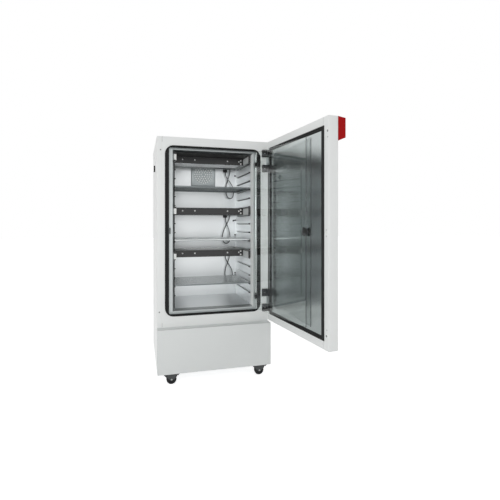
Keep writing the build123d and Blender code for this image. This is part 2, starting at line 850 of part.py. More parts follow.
# appliance inlet on the rear panel, with its three blades in a recess
inletX = 132.5 - halfWidth
inletZ = castorHeight + 118
with BuildPart() as mainsInlet:
    with BuildSketch(Plane.XZ.offset(-rearPanelY)):
        with Locations((inletX, inletZ)):
            RectangleRounded(58, 34, 4)
    extrude(amount=-12)
    with BuildSketch(Plane.XZ.offset(-(rearPanelY + 12))) as recess:
        with Locations((inletX, inletZ)):
            RectangleRounded(30, 20, 3)
    extrude(amount=10, mode=Mode.SUBTRACT)
    with BuildSketch(Plane.XZ.offset(-(rearPanelY + 2))) as blades:
        with Locations((inletX, inletZ + 3), (inletX - 7, inletZ - 2), (inletX + 7, inletZ - 2)):
            Rectangle(2, 5)
    extrude(amount=-8)
save(mainsInlet.part, "mains_inlet")

# outer door hinges on the front frame: two blocks each, a pin in every block
blockStart = halfWidth - blockInset - blockWidth
with BuildPart() as hingeBlocks:
    for level in hingeHeights:
        for side in (-1, 1):
            near = level + side * blockGap / 2
            far = near + side * blockHeight
            block(
                (blockStart, frontY - gap + 0.5, min(near, far)),
                (halfWidth - blockInset, frontY, max(near, far)),
            )
    fillet(hingeBlocks.edges().filter_by(Axis.Z).group_by(Axis.Y)[0], radius=3.5)
    for level in hingeHeights:
        with Locations((hingeX, hingeY, level)):
            Cylinder(pinRadius, blockGap + 2)
save(hingeBlocks.part, "hinge_blocks")

# outer door: painted pan, foam core, polished inner sheet and mitred seal
doorPlane = swung(hingeX, hingeY, doorAngle)
linerStart = hingeX - doorGasketHalf + doorGasketWidth
linerEnd = hingeX + doorGasketHalf - doorGasketWidth
linerBottom = doorGasketBottom + doorGasketWidth
linerTop = doorGasketTop - doorGasketWidth


def doorSlab(x1, x2, y1, y2, z1, z2, mode=Mode.ADD):
    """Block in the outer door's own directions."""
    with BuildSketch(doorPlane.offset(z1)) as slab:
        with Locations(((x1 + x2) / 2, (y1 + y2) / 2)):
            Rectangle(abs(x2 - x1), abs(y2 - y1))
    extrude(slab.sketch, amount=z2 - z1, mode=mode)


with BuildPart() as doorPanel:
    with BuildSketch(doorPlane.offset(doorBottom)):
        with Locations(((doorEdge + doorFree) / 2, (doorIn + doorOut) / 2)):
            RectangleRounded(doorFree - doorEdge, doorThickness, doorCorner)
    extrude(amount=doorHeight)
    doorSlab(
        doorEdge + doorSkin,
        doorFree - doorSkin,
        doorIn + doorSkin,
        doorOut - doorSkin,
        doorBottom + doorSkin,
        bodyTop - doorSkin,
        Mode.SUBTRACT,
    )
    doorSlab(
        linerStart,
        linerEnd,
        doorIn - 1,
        doorIn + doorSkin,
        linerBottom,
        linerTop,
        Mode.SUBTRACT,
    )
save(doorPanel.part, "door_panel")

with BuildPart() as doorCore:
    doorSlab(
        doorEdge + doorSkin,
        doorFree - doorSkin,
        doorIn + doorSkin,
        doorOut - doorSkin,
        doorBottom + doorSkin,
        bodyTop - doorSkin,
    )
save(doorCore.part, "door_core")

with BuildPart() as doorLiner:
    doorSlab(linerStart, linerEnd, doorIn, doorIn + doorSkin, linerBottom, linerTop)
save(doorLiner.part, "door_liner")

gasketStart = hingeX - doorGasketHalf
gasketEnd = hingeX + doorGasketHalf
with BuildPart() as doorGasket:
    doorSlab(gasketStart, gasketEnd, doorIn - sealThickness, doorIn, doorGasketBottom, doorGasketTop)
    sealEdges = doorGasket.faces().sort_by(SortBy.AREA)[-2:]
    crownEdges = [e for face in sealEdges for e in face.edges()]
    inward = Vector(*doorPlane.y_dir) * -1
    crownEdges = sorted(crownEdges, key=lambda e: -e.center().dot(inward))[:4]
    chamfer(crownEdges, length=3)
    doorSlab(
        linerStart,
        linerEnd,
        doorIn - sealThickness - 1,
        doorIn + 1,
        linerBottom,
        linerTop,
        Mode.SUBTRACT,
    )
save(doorGasket.part, "door_gasket")

# hinge knuckles, ball catch and handle bracket, all screwed to the door
leafLength = hingeX - doorGasketHalf - 1
handleStart = doorFree - 127.5
handleReach = 37.5
handlePin = 4
handleTop = midHeight + 75
handleBottom = midHeight - 75
handleEar = 11
with BuildPart() as doorFittings:
    for level in hingeHeights:
        knuckleBottom = level - blockGap / 2 + seat
        with BuildSketch(doorPlane.offset(knuckleBottom)):
            Circle(knuckleRadius)
            with Locations((leafLength / 2, (doorIn + 3) / 2)):
                Rectangle(leafLength, doorIn - 3)
            Circle(pinRadius + pinClearance, mode=Mode.SUBTRACT)
        extrude(amount=blockGap - 2 * seat)
    catchX = doorFree - 25
    doorSlab(catchX - 9, catchX + 9, doorIn - 2, doorIn, midHeight - 30, midHeight + 30)
    doorSlab(catchX - 5, catchX + 5, doorIn - 9, doorIn, midHeight - 8, midHeight + 8)
    doorSlab(
        handleStart - 12,
        handleStart + 46,
        doorOut,
        doorOut + 5,
        handleBottom - 14,
        handleTop + 14,
    )
    for low in (handleBottom - seat - handleEar, handleTop + seat):
        with BuildSketch(doorPlane.offset(low)) as ear:
            with Locations((handleStart, doorOut + handleReach)):
                Circle(9)
            with Locations((handleStart, doorOut + handleReach / 2)):
                Rectangle(18, handleReach)
        extrude(amount=handleEar)
    with BuildSketch(doorPlane.offset(handleBottom - 3)):
        with Locations((handleStart, doorOut + handleReach)):
            Circle(handlePin)
    extrude(amount=handleTop - handleBottom + 6)
save(doorFittings.part, "door_fittings")

with BuildPart() as doorHandle:
    with BuildSketch(doorPlane.offset(handleBottom)) as leverPlan:
        with Locations((handleStart, doorOut + handleReach)):
            Circle(8)
        with BuildLine():
            Polyline(
                (handleStart, doorOut + handleReach + 8),
                (handleStart + 30, doorOut + handleReach + 7),
                (handleStart + 56, doorOut + handleReach + 2),
                (handleStart + 56, doorOut + handleReach - 2),
                (handleStart + 30, doorOut + handleReach - 1),
                (handleStart, doorOut + handleReach - 5),
                close=True,
            )
        make_face()
    extrude(amount=handleTop - handleBottom)
    with BuildSketch(doorPlane.offset(handleBottom - 1)):
        with Locations((handleStart, doorOut + handleReach)):
            Circle(handlePin + pinClearance)
    extrude(amount=handleTop - handleBottom + 2, mode=Mode.SUBTRACT)
save(doorHandle.part, "door_handle")

# instrument housing: sloping hood on the outer face, open at its back
facePlane = Plane(
    origin=doorPlane.from_local_coords(Vector(doorFree, 0, 0)),
    x_dir=Vector(*doorPlane.y_dir),
    z_dir=Vector(*doorPlane.x_dir) * -1,
)
housingFront = doorOut + housingDepth
rimUp = facePlane.y_dir.Z
with BuildPart() as housing:
    with BuildSketch(facePlane) as hoodOutline:
        with BuildLine():
            Polyline(
                (doorOut, rimUp * housingLow),
                (housingFront, rimUp * housingFrontLow),
                (housingFront, rimUp * housingFrontHigh),
                (doorOut, rimUp * bodyTop),
                close=True,
            )
        make_face()
    extrude(amount=housingWidth)
    with BuildSketch(facePlane.offset(housingWall)) as hoodInside:
        with BuildLine():
            Polyline(
                (doorOut - 1, rimUp * (housingLow + housingWall)),
                (housingFront - housingWall, rimUp * (housingFrontLow + housingWall)),
                (housingFront - housingWall, rimUp * (housingFrontHigh - housingWall)),
                (doorOut - 1, rimUp * (bodyTop - housingWall)),
                close=True,
            )
        make_face()
    extrude(amount=housingWidth - 2 * housingWall, mode=Mode.SUBTRACT)
    housingMiddle = (housingFrontLow + housingFrontHigh) / 2
    keypadStart = doorFree - housingWidth + 30
    keypadEnd = keypadStart + 270
    keypadLow = housingMiddle - 42
    keypadHigh = housingMiddle + 42
    doorSlab(
        keypadStart,
        keypadEnd,
        housingFront - 1,
        housingFront + 1,
        keypadLow,
        keypadHigh,
        Mode.SUBTRACT,
    )
    keySpots = {"key_set": keypadStart + 40, "key_down": keypadStart + 80, "key_up": keypadStart + 120}
    keyLevel = keypadLow + 18
    for spot in keySpots.values():
        doorSlab(
            spot - keyWidth / 2 - keyClearance,
            spot + keyWidth / 2 + keyClearance,
            housingFront - housingWall - 1,
            housingFront + 1,
            keyLevel - keyHeight / 2 - keyClearance,
            keyLevel + keyHeight / 2 + keyClearance,
            Mode.SUBTRACT,
        )
    switchX = doorFree - 60
    switchHalf = 10
    switchRise = 14
    doorSlab(
        switchX - switchHalf - 0.5,
        switchX + switchHalf + 0.5,
        housingFront - housingWall - 1,
        housingFront + 1,
        housingMiddle - switchRise - 1,
        housingMiddle + switchRise + 1,
        Mode.SUBTRACT,
    )
save(housing.part, "instrument_housing")

with BuildPart() as keypad:
    doorSlab(
        keypadStart + 0.3,
        keypadEnd - 0.3,
        housingFront - 1,
        housingFront + 0.6,
        keypadLow + 0.3,
        keypadHigh - 0.3,
    )
    doorSlab(
        keypadStart + 150,
        keypadEnd - 14,
        housingFront + 0.2,
        housingFront + 1,
        keypadLow + 10,
        keypadHigh - 10,
        Mode.SUBTRACT,
    )
    for spot in keySpots.values():
        doorSlab(
            spot - keyWidth / 2 - keyClearance,
            spot + keyWidth / 2 + keyClearance,
            housingFront - 2,
            housingFront + 2,
            keyLevel - keyHeight / 2 - keyClearance,
            keyLevel + keyHeight / 2 + keyClearance,
            Mode.SUBTRACT,
        )
save(keypad.part, "keypad_panel")

for name, spot in keySpots.items():
    with BuildPart() as key:
        doorSlab(
            spot - keyWidth / 2,
            spot + keyWidth / 2,
            housingFront - housingWall - 4,
            housingFront + 0.6 + keyTravel,
            keyLevel - keyHeight / 2,
            keyLevel + keyHeight / 2,
        )
    save(key.part, name)

# rocker switch: a shallow V pressed at either end, tilted to its off side
trunnionRadius = 2.5
trunnionReach = 0.4
with BuildPart() as rocker:
    with BuildSketch(facePlane.offset(doorFree - switchX - switchHalf)) as rockerSide:
        with BuildLine():
            Polyline(
                (housingFront - 9, rimUp * (housingMiddle - 6)),
                (housingFront + 1.4, rimUp * (housingMiddle - switchRise + 0.6)),
                (housingFront + 0.6, rimUp * housingMiddle),
                (housingFront + 3.8, rimUp * (housingMiddle + switchRise - 1.2)),
                (housingFront - 9, rimUp * (housingMiddle + 6)),
                close=True,
            )
        make_face()
    extrude(amount=2 * switchHalf)
    with BuildSketch(facePlane.offset(doorFree - switchX - switchHalf - trunnionReach)):
        with Locations((housingFront - housingWall, rimUp * housingMiddle)):
            Circle(trunnionRadius)
    extrude(amount=2 * (switchHalf + trunnionReach))
save(rocker.part, "power_switch")

# inner glass door with its two clamps and the turning knob
glassPlane = swung(glassHingeX, glassHingeY, glassAngle)
glassEnd = glassStart + glassWidth
glassFront = glassBack + glassThickness
knobX = glassEnd - knobInset


def glassSlab(x1, x2, y1, y2, z1, z2, mode=Mode.ADD):
    """Block in the glass door's own directions."""
    with BuildSketch(glassPlane.offset(z1)) as slab:
        with Locations(((x1 + x2) / 2, (y1 + y2) / 2)):
            Rectangle(abs(x2 - x1), abs(y2 - y1))
    extrude(slab.sketch, amount=z2 - z1, mode=mode)


knobPlane = Plane(
    origin=glassPlane.from_local_coords(Vector(knobX, 0, midHeight)),
    x_dir=Vector(*glassPlane.x_dir),
    z_dir=Vector(*glassPlane.y_dir),
)
with BuildPart() as glassPane:
    glassSlab(glassStart, glassEnd, glassBack, glassFront, glassBottom, glassTop)
    with BuildSketch(knobPlane.offset(glassBack - 1)):
        Circle(spindleRadius + pinClearance)
    extrude(amount=glassThickness + 2, mode=Mode.SUBTRACT)
save(glassPane.part, "glass_pane")

with BuildPart() as glassClamps:
    for level in glassHingeHeights:
        low = level - glassKnuckle / 2
        with BuildSketch(glassPlane.offset(low)) as clampPlan:
            Circle(glassBarrel)
            with Locations((19, glassFront + 1.5)):
                Rectangle(34, 3)
            with Locations((19, glassBack - 1.5)):
                Rectangle(34, 3)
            with Locations((4.5, (glassBack + glassFront) / 2)):
                Rectangle(5, glassThickness)
            Circle(glassPinRadius + pinClearance, mode=Mode.SUBTRACT)
        extrude(amount=glassKnuckle)
save(glassClamps.part, "glass_clamps")

tongueBack = glassBack - 1.5
with BuildPart() as glassKnob:
    with BuildSketch(knobPlane.offset(glassFront + 0.5)):
        Circle(knobRadius)
    extrude(amount=knobThickness - 0.5)
    knobFace = glassKnob.faces().sort_by(Axis(knobPlane.origin, knobPlane.z_dir))[-1]
    fillet(knobFace.edges(), radius=3)
    with BuildSketch(knobPlane.offset(glassFront + 5)) as fingerCuts:
        with Locations((0, knobRadius), (0, -knobRadius)):
            Rectangle(2 * knobRadius, 26)
    extrude(amount=knobThickness, mode=Mode.SUBTRACT)
    with BuildSketch(knobPlane.offset(tongueBack - 4)):
        Circle(spindleRadius)
    extrude(amount=glassFront + 1 - tongueBack + 4)
    with BuildSketch(knobPlane.offset(tongueBack)):
        Circle(9)
        with Locations((0, -18)):
            Rectangle(12, 36)
    extrude(amount=-4)
save(glassKnob.part, "glass_knob")
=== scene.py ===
import bpy
import bmesh
import json
import math
from mathutils import Matrix, Vector

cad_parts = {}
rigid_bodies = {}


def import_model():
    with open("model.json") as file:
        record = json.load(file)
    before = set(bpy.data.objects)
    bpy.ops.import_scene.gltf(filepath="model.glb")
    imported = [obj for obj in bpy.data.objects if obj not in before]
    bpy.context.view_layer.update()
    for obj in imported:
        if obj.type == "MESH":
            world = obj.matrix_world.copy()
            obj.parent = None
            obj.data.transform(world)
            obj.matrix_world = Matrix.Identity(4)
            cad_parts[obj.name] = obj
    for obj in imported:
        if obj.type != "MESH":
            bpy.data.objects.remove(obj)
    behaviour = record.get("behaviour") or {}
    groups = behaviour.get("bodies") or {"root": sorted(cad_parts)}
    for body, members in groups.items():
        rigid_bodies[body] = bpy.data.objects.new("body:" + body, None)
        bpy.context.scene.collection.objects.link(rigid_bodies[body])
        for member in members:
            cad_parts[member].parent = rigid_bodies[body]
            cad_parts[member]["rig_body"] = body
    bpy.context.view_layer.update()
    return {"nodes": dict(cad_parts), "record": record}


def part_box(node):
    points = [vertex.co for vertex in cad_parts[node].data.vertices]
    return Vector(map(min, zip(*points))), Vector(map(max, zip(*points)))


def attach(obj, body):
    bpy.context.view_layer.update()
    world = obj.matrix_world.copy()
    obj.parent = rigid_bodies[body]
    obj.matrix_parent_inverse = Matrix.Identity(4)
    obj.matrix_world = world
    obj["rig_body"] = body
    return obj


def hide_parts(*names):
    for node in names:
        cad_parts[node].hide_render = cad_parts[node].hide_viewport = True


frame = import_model()
nodes = frame["nodes"]
scene = bpy.context.scene
mm = 0.001
print("frame loaded")

# camera at the photograph's viewpoint: level, turned to the hinge side, shifted down;
# the place is in metres, the turn in degrees
cameraValues = {"place": (-0.6, -3.583, 1.2934), "turn": -15.86, "lens": 28.177, "shiftY": -0.0543, "sensor": 36}
cameraData = bpy.data.cameras.new("studioCamera")
cameraData.sensor_width = cameraValues["sensor"]
cameraData.lens = cameraValues["lens"]
cameraData.shift_y = cameraValues["shiftY"]
camera = bpy.data.objects.new("studioCamera", cameraData)
camera.location = cameraValues["place"]
camera.rotation_euler = (math.radians(90), 0, math.radians(cameraValues["turn"]))
scene.collection.objects.link(camera)
scene.camera = camera

# lamp cables: each hangs from its cassette in a crossed loop and ends in a wall plug;
# diameter and lengths are in metres, all places in millimetres
cableValues = {
    "diameter": 0.007, "roundSteps": 4, "lengthSteps": 8,
    "exitX": 262, "exitY": 168, "exitRise": 38, "plugX": 216, "plugDrop": 26,
    "levels": {"top": 1809.3, "mid": 1365.3, "low": 995.3},
    "lengths": {"top": 0.632, "mid": 0.619, "low": 0.607},
    "routes": {
        "top": [(0, 0, 0), (0, 0, -58), (-20, 6, -130), (-40, 4, -190), (-42, 0, -240),
                (-38, -4, -284), (-18, -7, -314), (12, -8, -318), (32, -9, -288),
                (34, -10, -242), (20, -10, -190), (-20, -10, -134), (-46, 0, -94)],
        "mid": [(0, 0, 0), (0, 0, -54), (-28, 6, -118), (-62, 4, -178), (-78, 0, -232),
                (-76, -4, -278), (-58, -7, -309), (-28, -9, -313), (-6, -10, -286),
                (-2, -10, -244), (-10, -10, -190), (-30, -10, -134), (-46, 0, -94)],
        "low": [(0, 0, 0), (0, 0, -56), (-22, 6, -128), (-46, 4, -186), (-52, 0, -236),
                (-48, -4, -276), (-28, -7, -304), (2, -9, -306), (20, -10, -276),
                (22, -10, -236), (12, -10, -190), (-22, -10, -134), (-46, 0, -94)],
    },
}
cables = []
for cableName, level in cableValues["levels"].items():
    start = Vector((cableValues["exitX"], cableValues["exitY"], level + cableValues["exitRise"])) * mm
    route = [start + Vector(step) * mm for step in cableValues["routes"][cableName]]
    route.append(Vector((cableValues["plugX"], cableValues["exitY"], level - cableValues["plugDrop"])) * mm)
    curve = bpy.data.curves.new("lampCable_" + cableName, "CURVE")
    curve.dimensions = "3D"
    curve.bevel_depth = 1.0
    curve.bevel_resolution = cableValues["roundSteps"]
    curve.resolution_u = cableValues["lengthSteps"]
    curve.use_fill_caps = True
    spline = curve.splines.new("NURBS")
    spline.points.add(len(route) - 1)
    for point, spot in zip(spline.points, route):
        point.co = (*spot, 1)
        point.radius = cableValues["diameter"] / 2
    spline.order_u = 3
    spline.use_endpoint_u = True
    cable = bpy.data.objects.new("lampCable_" + cableName, curve)
    scene.collection.objects.link(cable)
    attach(cable, "cabinet")
    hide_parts("lamp_cable_" + cableName)
    cables.append(cable)
print("camera and cables placed")


# sRGB hex value as a linear colour
def linear(text):
    parts = [int(text[i:i + 2], 16) / 255 for i in (0, 2, 4)]
    return tuple(c / 12.92 if c <= 0.04045 else ((c + 0.055) / 1.055) ** 2.4 for c in parts) + (1,)


# adds a node, gives it its settings and links or fills its inputs
def addNode(tree, kind, settings=None, inputs=None):
    node = tree.nodes.new(kind)
    for name, value in (settings or {}).items():
        setattr(node, name, value)
    for name, value in (inputs or {}).items():
        if isinstance(value, bpy.types.NodeSocket):
            tree.links.new(value, node.inputs[name])
        else:
            node.inputs[name].default_value = value
    return node


def openMaterial(name):
    made = bpy.data.materials.new(name)
    made.use_nodes = True
    made.node_tree.nodes.clear()
    return made, made.node_tree, addNode(made.node_tree, "ShaderNodeTexCoord").outputs["Object"]


def closeMaterial(tree, shader):
    surface = addNode(tree, "ShaderNodeBsdfPrincipled", inputs=shader)
    addNode(tree, "ShaderNodeOutputMaterial", inputs={"Surface": surface.outputs[0]})


# a noise, and the colour that runs between two hex values along it; the widths and depths
# of all patterns are in millimetres
def tonedNoise(tree, vector, width, detail, dark, light):
    noise = addNode(tree, "ShaderNodeTexNoise", inputs={
        "Vector": vector, "Scale": 1000 / width, "Detail": detail}).outputs["Fac"]
    colour = addNode(tree, "ShaderNodeMix", {"data_type": "RGBA"}, {
        0: noise, 6: linear(dark), 7: linear(light)})
    return noise, colour.outputs[2]


# a fine noise as the relief of the skin
def grainNormal(tree, vector, width, detail, depth, strength):
    grain = addNode(tree, "ShaderNodeTexNoise", inputs={
        "Vector": vector, "Scale": 1000 / width, "Detail": detail})
    return addNode(tree, "ShaderNodeBump", inputs={
        "Height": grain.outputs["Fac"], "Distance": depth * mm, "Strength": strength}).outputs[0]


# polyester powder on sheet steel, cured in an oven: the eye gets a soft, even sheen,
# wide clouds that hardly show, and a fine orange peel
powderValues = {"cloud": 260, "peel": 2.2, "depth": 0.02, "strength": 0.35, "sheen": (0.4, 0.48), "ior": 1.5}


def powderCoat(name, dark, light):
    made, tree, spot = openMaterial(name)
    clouds, colour = tonedNoise(tree, spot, powderValues["cloud"], 3.0, dark, light)
    sheen = addNode(tree, "ShaderNodeMapRange", inputs={
        "Value": clouds, "To Min": powderValues["sheen"][0], "To Max": powderValues["sheen"][1]})
    normal = grainNormal(tree, spot, powderValues["peel"], 1.0, powderValues["depth"], powderValues["strength"])
    closeMaterial(tree, {"Base Color": colour, "Roughness": sheen.outputs[0], "IOR": powderValues["ior"],
                         "Normal": normal})
    return made


# rolled, drawn or brushed metal: the eye gets fine streaks along the working direction,
# where the stretch is small; the streaks are drawn about 0.5 mm wide, coarser than real ones
metalValues = {"duller": 0.07, "glossier": 0.05, "strength": 0.3}


def workedMetal(name, dark, light, roughness, streak, stretch, depth=0.01):
    made, tree, spot = openMaterial(name)
    along = addNode(tree, "ShaderNodeMapping", inputs={"Vector": spot, "Scale": stretch})
    lines, colour = tonedNoise(tree, along.outputs[0], streak, 3.0, dark, light)
    sheen = addNode(tree, "ShaderNodeMapRange", inputs={
        "Value": lines, "To Min": roughness - metalValues["glossier"],
        "To Max": roughness + metalValues["duller"]})
    bump = addNode(tree, "ShaderNodeBump", inputs={
        "Height": lines, "Distance": depth * mm, "Strength": metalValues["strength"]})
    closeMaterial(tree, {"Base Color": colour, "Metallic": 1.0, "Roughness": sheen.outputs[0],
                         "Normal": bump.outputs[0]})
    return made


# injection moulded plastic, paint or enamel: the eye gets one colour with a sharp or soft
# highlight, broken by a grain of a millimetre or more
plasticValues = {"cloud": 60, "strength": 0.4, "ior": 1.53}


def mouldedPlastic(name, dark, light, roughness, grain=1.2, depth=0.03, shine=0.5):
    made, tree, spot = openMaterial(name)
    colour = tonedNoise(tree, spot, plasticValues["cloud"], 2.0, dark, light)[1]
    normal = grainNormal(tree, spot, grain, 1.0, depth, plasticValues["strength"])
    closeMaterial(tree, {"Base Color": colour, "Roughness": roughness, "IOR": plasticValues["ior"],
                         "Specular IOR Level": shine, "Normal": normal})
    return made


# extruded or moulded elastomer: the eye gets a dull surface with a faint dusty bloom
rubberValues = {"bloom": 30, "grain": 0.8, "depth": 0.02, "strength": 0.4, "roughness": 0.62, "ior": 1.52,
                "shine": 0.25}


def elastomer(name, dark, light):
    made, tree, spot = openMaterial(name)
    colour = tonedNoise(tree, spot, rubberValues["bloom"], 4.0, dark, light)[1]
    normal = grainNormal(tree, spot, rubberValues["grain"], 2.0, rubberValues["depth"], rubberValues["strength"])
    closeMaterial(tree, {"Base Color": colour, "Roughness": rubberValues["roughness"],
                         "IOR": rubberValues["ior"], "Specular IOR Level": rubberValues["shine"],
                         "Normal": normal})
    return made


# float glass, fire polished: the eye gets mirror images in front of what lies behind,
# and a hint of green in the thickness
glassValues = {"wave": 400, "sheen": (0.0, 0.01), "tint": "F7FAF9", "ior": 1.5}


def floatGlass(name):
    made, tree, spot = openMaterial(name)
    waves = addNode(tree, "ShaderNodeTexNoise", inputs={"Vector": spot, "Scale": 1000 / glassValues["wave"]})
    sheen = addNode(tree, "ShaderNodeMapRange", inputs={
        "Value": waves.outputs["Fac"], "To Min": glassValues["sheen"][0], "To Max": glassValues["sheen"][1]})
    closeMaterial(tree, {"Base Color": linear(glassValues["tint"]), "Roughness": sheen.outputs[0],
                         "IOR": glassValues["ior"], "Transmission Weight": 1.0})
    return made


# lit display digits behind smoked acrylic: the eye gets pale even figures without a highlight
digitValues = {"cell": 4, "glow": (0.5, 0.7), "roughness": 0.5, "ior": 1.5}


def litFigure(name, light):
    made, tree, spot = openMaterial(name)
    cells = addNode(tree, "ShaderNodeTexNoise", inputs={"Vector": spot, "Scale": 1000 / digitValues["cell"]})
    glow = addNode(tree, "ShaderNodeMapRange", inputs={
        "Value": cells.outputs["Fac"], "To Min": digitValues["glow"][0], "To Max": digitValues["glow"][1]})
    closeMaterial(tree, {"Base Color": linear(light), "Roughness": digitValues["roughness"],
                         "IOR": digitValues["ior"], "Emission Color": linear(light),
                         "Emission Strength": glow.outputs[0]})
    return made


# metals as (dark, light, roughness, streak width, stretch, depth),
# plastics as (dark, light, roughness, grain width, depth, shine)
finishes = {
    # housing sheets and the slightly greyer machine cover, whose powder also stands as painted light on the
    # throat's right side and on left-facing arm faces of the cassettes
    "whitePowder": powderCoat("whitePowderCoat", "E4E6E5", "E8EAE9"),
    "coverPowderAndPaintedLight": powderCoat("coverPowderCoatAndPaintedLight", "D6D9D8", "DBDEDD"),
    # chamber walls brushed upwards, shelves brushed across, door lining polished upwards; a darker copy of the
    # shelf steel is painted shade on the shelves' undersides and fronts and under the throat
    "stainless": workedMetal("brushedStainless", "D3D6D7", "E6E9EA", 0.36, 0.5, (1, 1, 0.02)),
    "shelfSteel": workedMetal("electropolishedShelf", "B4B8B8", "C9CCCC", 0.3, 0.5, (0.02, 1, 1)),
    "shelfPaintedShade": workedMetal("shelfSteelPaintedShade", "6A6F70", "7A8081", 0.42, 0.5, (0.02, 1, 1)),
    "polished": workedMetal("polishedStainless", "B4BABA", "C2C8C8", 0.19, 0.9, (1, 1, 0.02), 0.003),
    # aluminium: near-mirror reflectors, satin throat with a duller lip, rolled fins and fan plate
    "mirror": workedMetal("anodisedReflector", "C9CCCC", "D6D8D8", 0.1, 2.0, (1, 0.05, 1), 0.002),
    "throat": workedMetal("satinAluminium", "B4B8B8", "C4C8C8", 0.42, 0.5, (1, 1, 0.02)),
    "throatLip": workedMetal("rolledAluminiumLip", "A0A5A5", "AEB3B3", 0.42, 0.5, (1, 1, 0.02)),
    "fins": workedMetal("finAluminium", "A9ACAC", "C2C4C4", 0.3, 1.0, (1, 0.05, 1)),
    "fanPlate": workedMetal("satinFanPlate", "9BA1A2", "A7ADAE", 0.4, 0.5, (0.02, 1, 1)),
    # zinc: crystals 14 mm wide show as faint spangles, plated screws are even
    "zinc": workedMetal("galvanisedSteel", "8D9091", "B4B7B8", 0.42, 14, (1, 1, 1)),
    "screwSteel": workedMetal("zincPlatedScrew", "9EA2A3", "B8BCBD", 0.3, 1.0, (1, 1, 1)),
    # plastics: grained black and white, glossy red and smoked, satin grey keys, dull grey plugs
    "blackPlastic": mouldedPlastic("grainedBlackAbs", "131415", "1A1B1C", 0.45),
    "whitePlastic": mouldedPlastic("whiteAbs", "E4E5E3", "EDEEEC", 0.35),
    "redPlastic": mouldedPlastic("glossRedAbs", "9E0205", "A60307", 0.4, 2.0, 0.01, 0.1),
    "darkGloss": mouldedPlastic("smokedAcrylic", "0F1011", "141516", 0.12, 3.0, 0.004),
    "greyPlastic": mouldedPlastic("satinGreyAbs", "A8ABAA", "B4B7B6", 0.4),
    "plugGrey": mouldedPlastic("darkGreyNylon", "6A6E6E", "767A7A", 0.45),
    # paint and enamel on steel, the black enamel also painted shade on the rails and under the ceiling,
    # and the smooth phosphor layer in the lamp tubes
    "forkSteel": mouldedPlastic("paintedForkSteel", "2C2F30", "383B3C", 0.35),
    "enamelAndPaintedShade": mouldedPlastic("blackEnamelAndPaintedShade", "0C0D0E", "131415", 0.3, 4.0, 0.006),
    "tube": mouldedPlastic("phosphorTube", "F2F4F6", "F8FAFB", 0.12, 6.0, 0.002),
    "figure": litFigure("litFigures", "BFE3D0"),
    # rubbers: door seals, cable sheaths, castor treads, foam in the walls, and dark grey strips painted as shade in
    # the seams
    "blackRubber": elastomer("extrudedBlackEpdm", "090A0A", "101111"),
    "sheath": elastomer("pvcSheath", "232426", "2D2E30"),
    "tyre": elastomer("castorTread", "1E1F20", "282A2B"),
    "seamShade": elastomer("paintedSeamShade", "6C6F6F", "757878"),
    "foam": elastomer("polyurethaneFoam", "D9CFA4", "E4DAB2"),
    "glass": floatGlass("floatGlass"),
}
nodeFinish = {
    "white_paint": "whitePowder", "zinc_steel": "zinc", "foam": "foam", "stainless": "stainless",
    "throat_metal": "throat", "black_rubber": "blackRubber", "motor_metal": "fins",
    "fin_aluminium": "fins", "black_plastic": "blackPlastic", "cassette_metal": "throat",
    "tube_glass": "tube", "cable_sheath": "sheath", "black_enamel": "enamelAndPaintedShade",
    "polished_steel": "polished", "red_plastic": "redPlastic", "dark_gloss": "darkGloss",
    "key_plastic": "greyPlastic", "clear_glass": "glass", "plug_rubber": "whitePlastic",
    "fan_plastic": "blackPlastic", "castor_rubber": "tyre",
}
slots = {part["node"]: part["material_slot"] for part in frame["record"]["subparts"]}
for nodeName, slotName in slots.items():
    held = nodes[nodeName].data.materials
    held.clear()
    held.append(finishes[nodeFinish[slotName]])
nodes["lower_cover"].data.materials[0] = finishes["coverPowderAndPaintedLight"]
for cable in cables:
    cable.data.materials.append(finishes["sheath"])
print("finishes given")

# mesh work: an eased edge turns 22 degrees where it leaves a flat face, so smooth shading stops
# at 20 degrees and keeps the flat face flat; edges over 40 degrees are eased
meshValues = {"smoothBelow": 20, "easeAbove": 40, "easeSteps": 2, "flatWithin": 1, "weld": 1e-6, "nodeWeld": 1e-5}


# makes a finished mesh a piece that rides on a body
def place(name, mesh, body, replaced=()):
    mesh.set_sharp_from_angle(angle=math.radians(meshValues["smoothBelow"]))
    for face in mesh.polygons:
        face.use_smooth = True
    piece = bpy.data.objects.new(name, mesh)
    scene.collection.objects.link(piece)
    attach(piece, body)
    if replaced:
        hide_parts(*replaced)


# rounds the sharp edges with the Bevel modifier and returns the result as plain mesh
def settle(mesh, bevel):
    holder = bpy.data.objects.new("holder", mesh)
    scene.collection.objects.link(holder)
    rounding = holder.modifiers.new("rounding", "BEVEL")
    rounding.width = bevel * mm
    rounding.segments = meshValues["easeSteps"]
    rounding.limit_method = "ANGLE"
    rounding.angle_limit = math.radians(meshValues["easeAbove"])
    done = bpy.data.meshes.new_from_object(holder.evaluated_get(bpy.context.evaluated_depsgraph_get()))
    bpy.data.objects.remove(holder)
    return done


# joins meshes into one with a single finish, moved by a matrix, faces outwards
def unite(meshes, look, move=None):
    work = bmesh.new()
    for mesh in meshes:
        work.from_mesh(mesh)
    bmesh.ops.remove_doubles(work, verts=work.verts, dist=meshValues["weld"])
    if move:
        bmesh.ops.transform(work, matrix=move, verts=work.verts)
    bmesh.ops.recalc_face_normals(work, faces=work.faces)
    done = bpy.data.meshes.new("united")
    work.to_mesh(done)
    work.free()
    for face in done.polygons:
        face.material_index = 0
    done.materials.append(finishes[look])
    return done


# bar between two corners in millimetres, with eased edges or sharp ones
def bar(low, high, ease=0):
    work = bmesh.new()
    bmesh.ops.create_cube(work, size=1)
    for vert in work.verts:
        vert.co = Vector([(low, high)[vert.co[axis] > 0][axis] for axis in range(3)]) * mm
    mesh = bpy.data.meshes.new("bar")
    work.to_mesh(mesh)
    work.free()
    return settle(mesh, ease) if ease else mesh


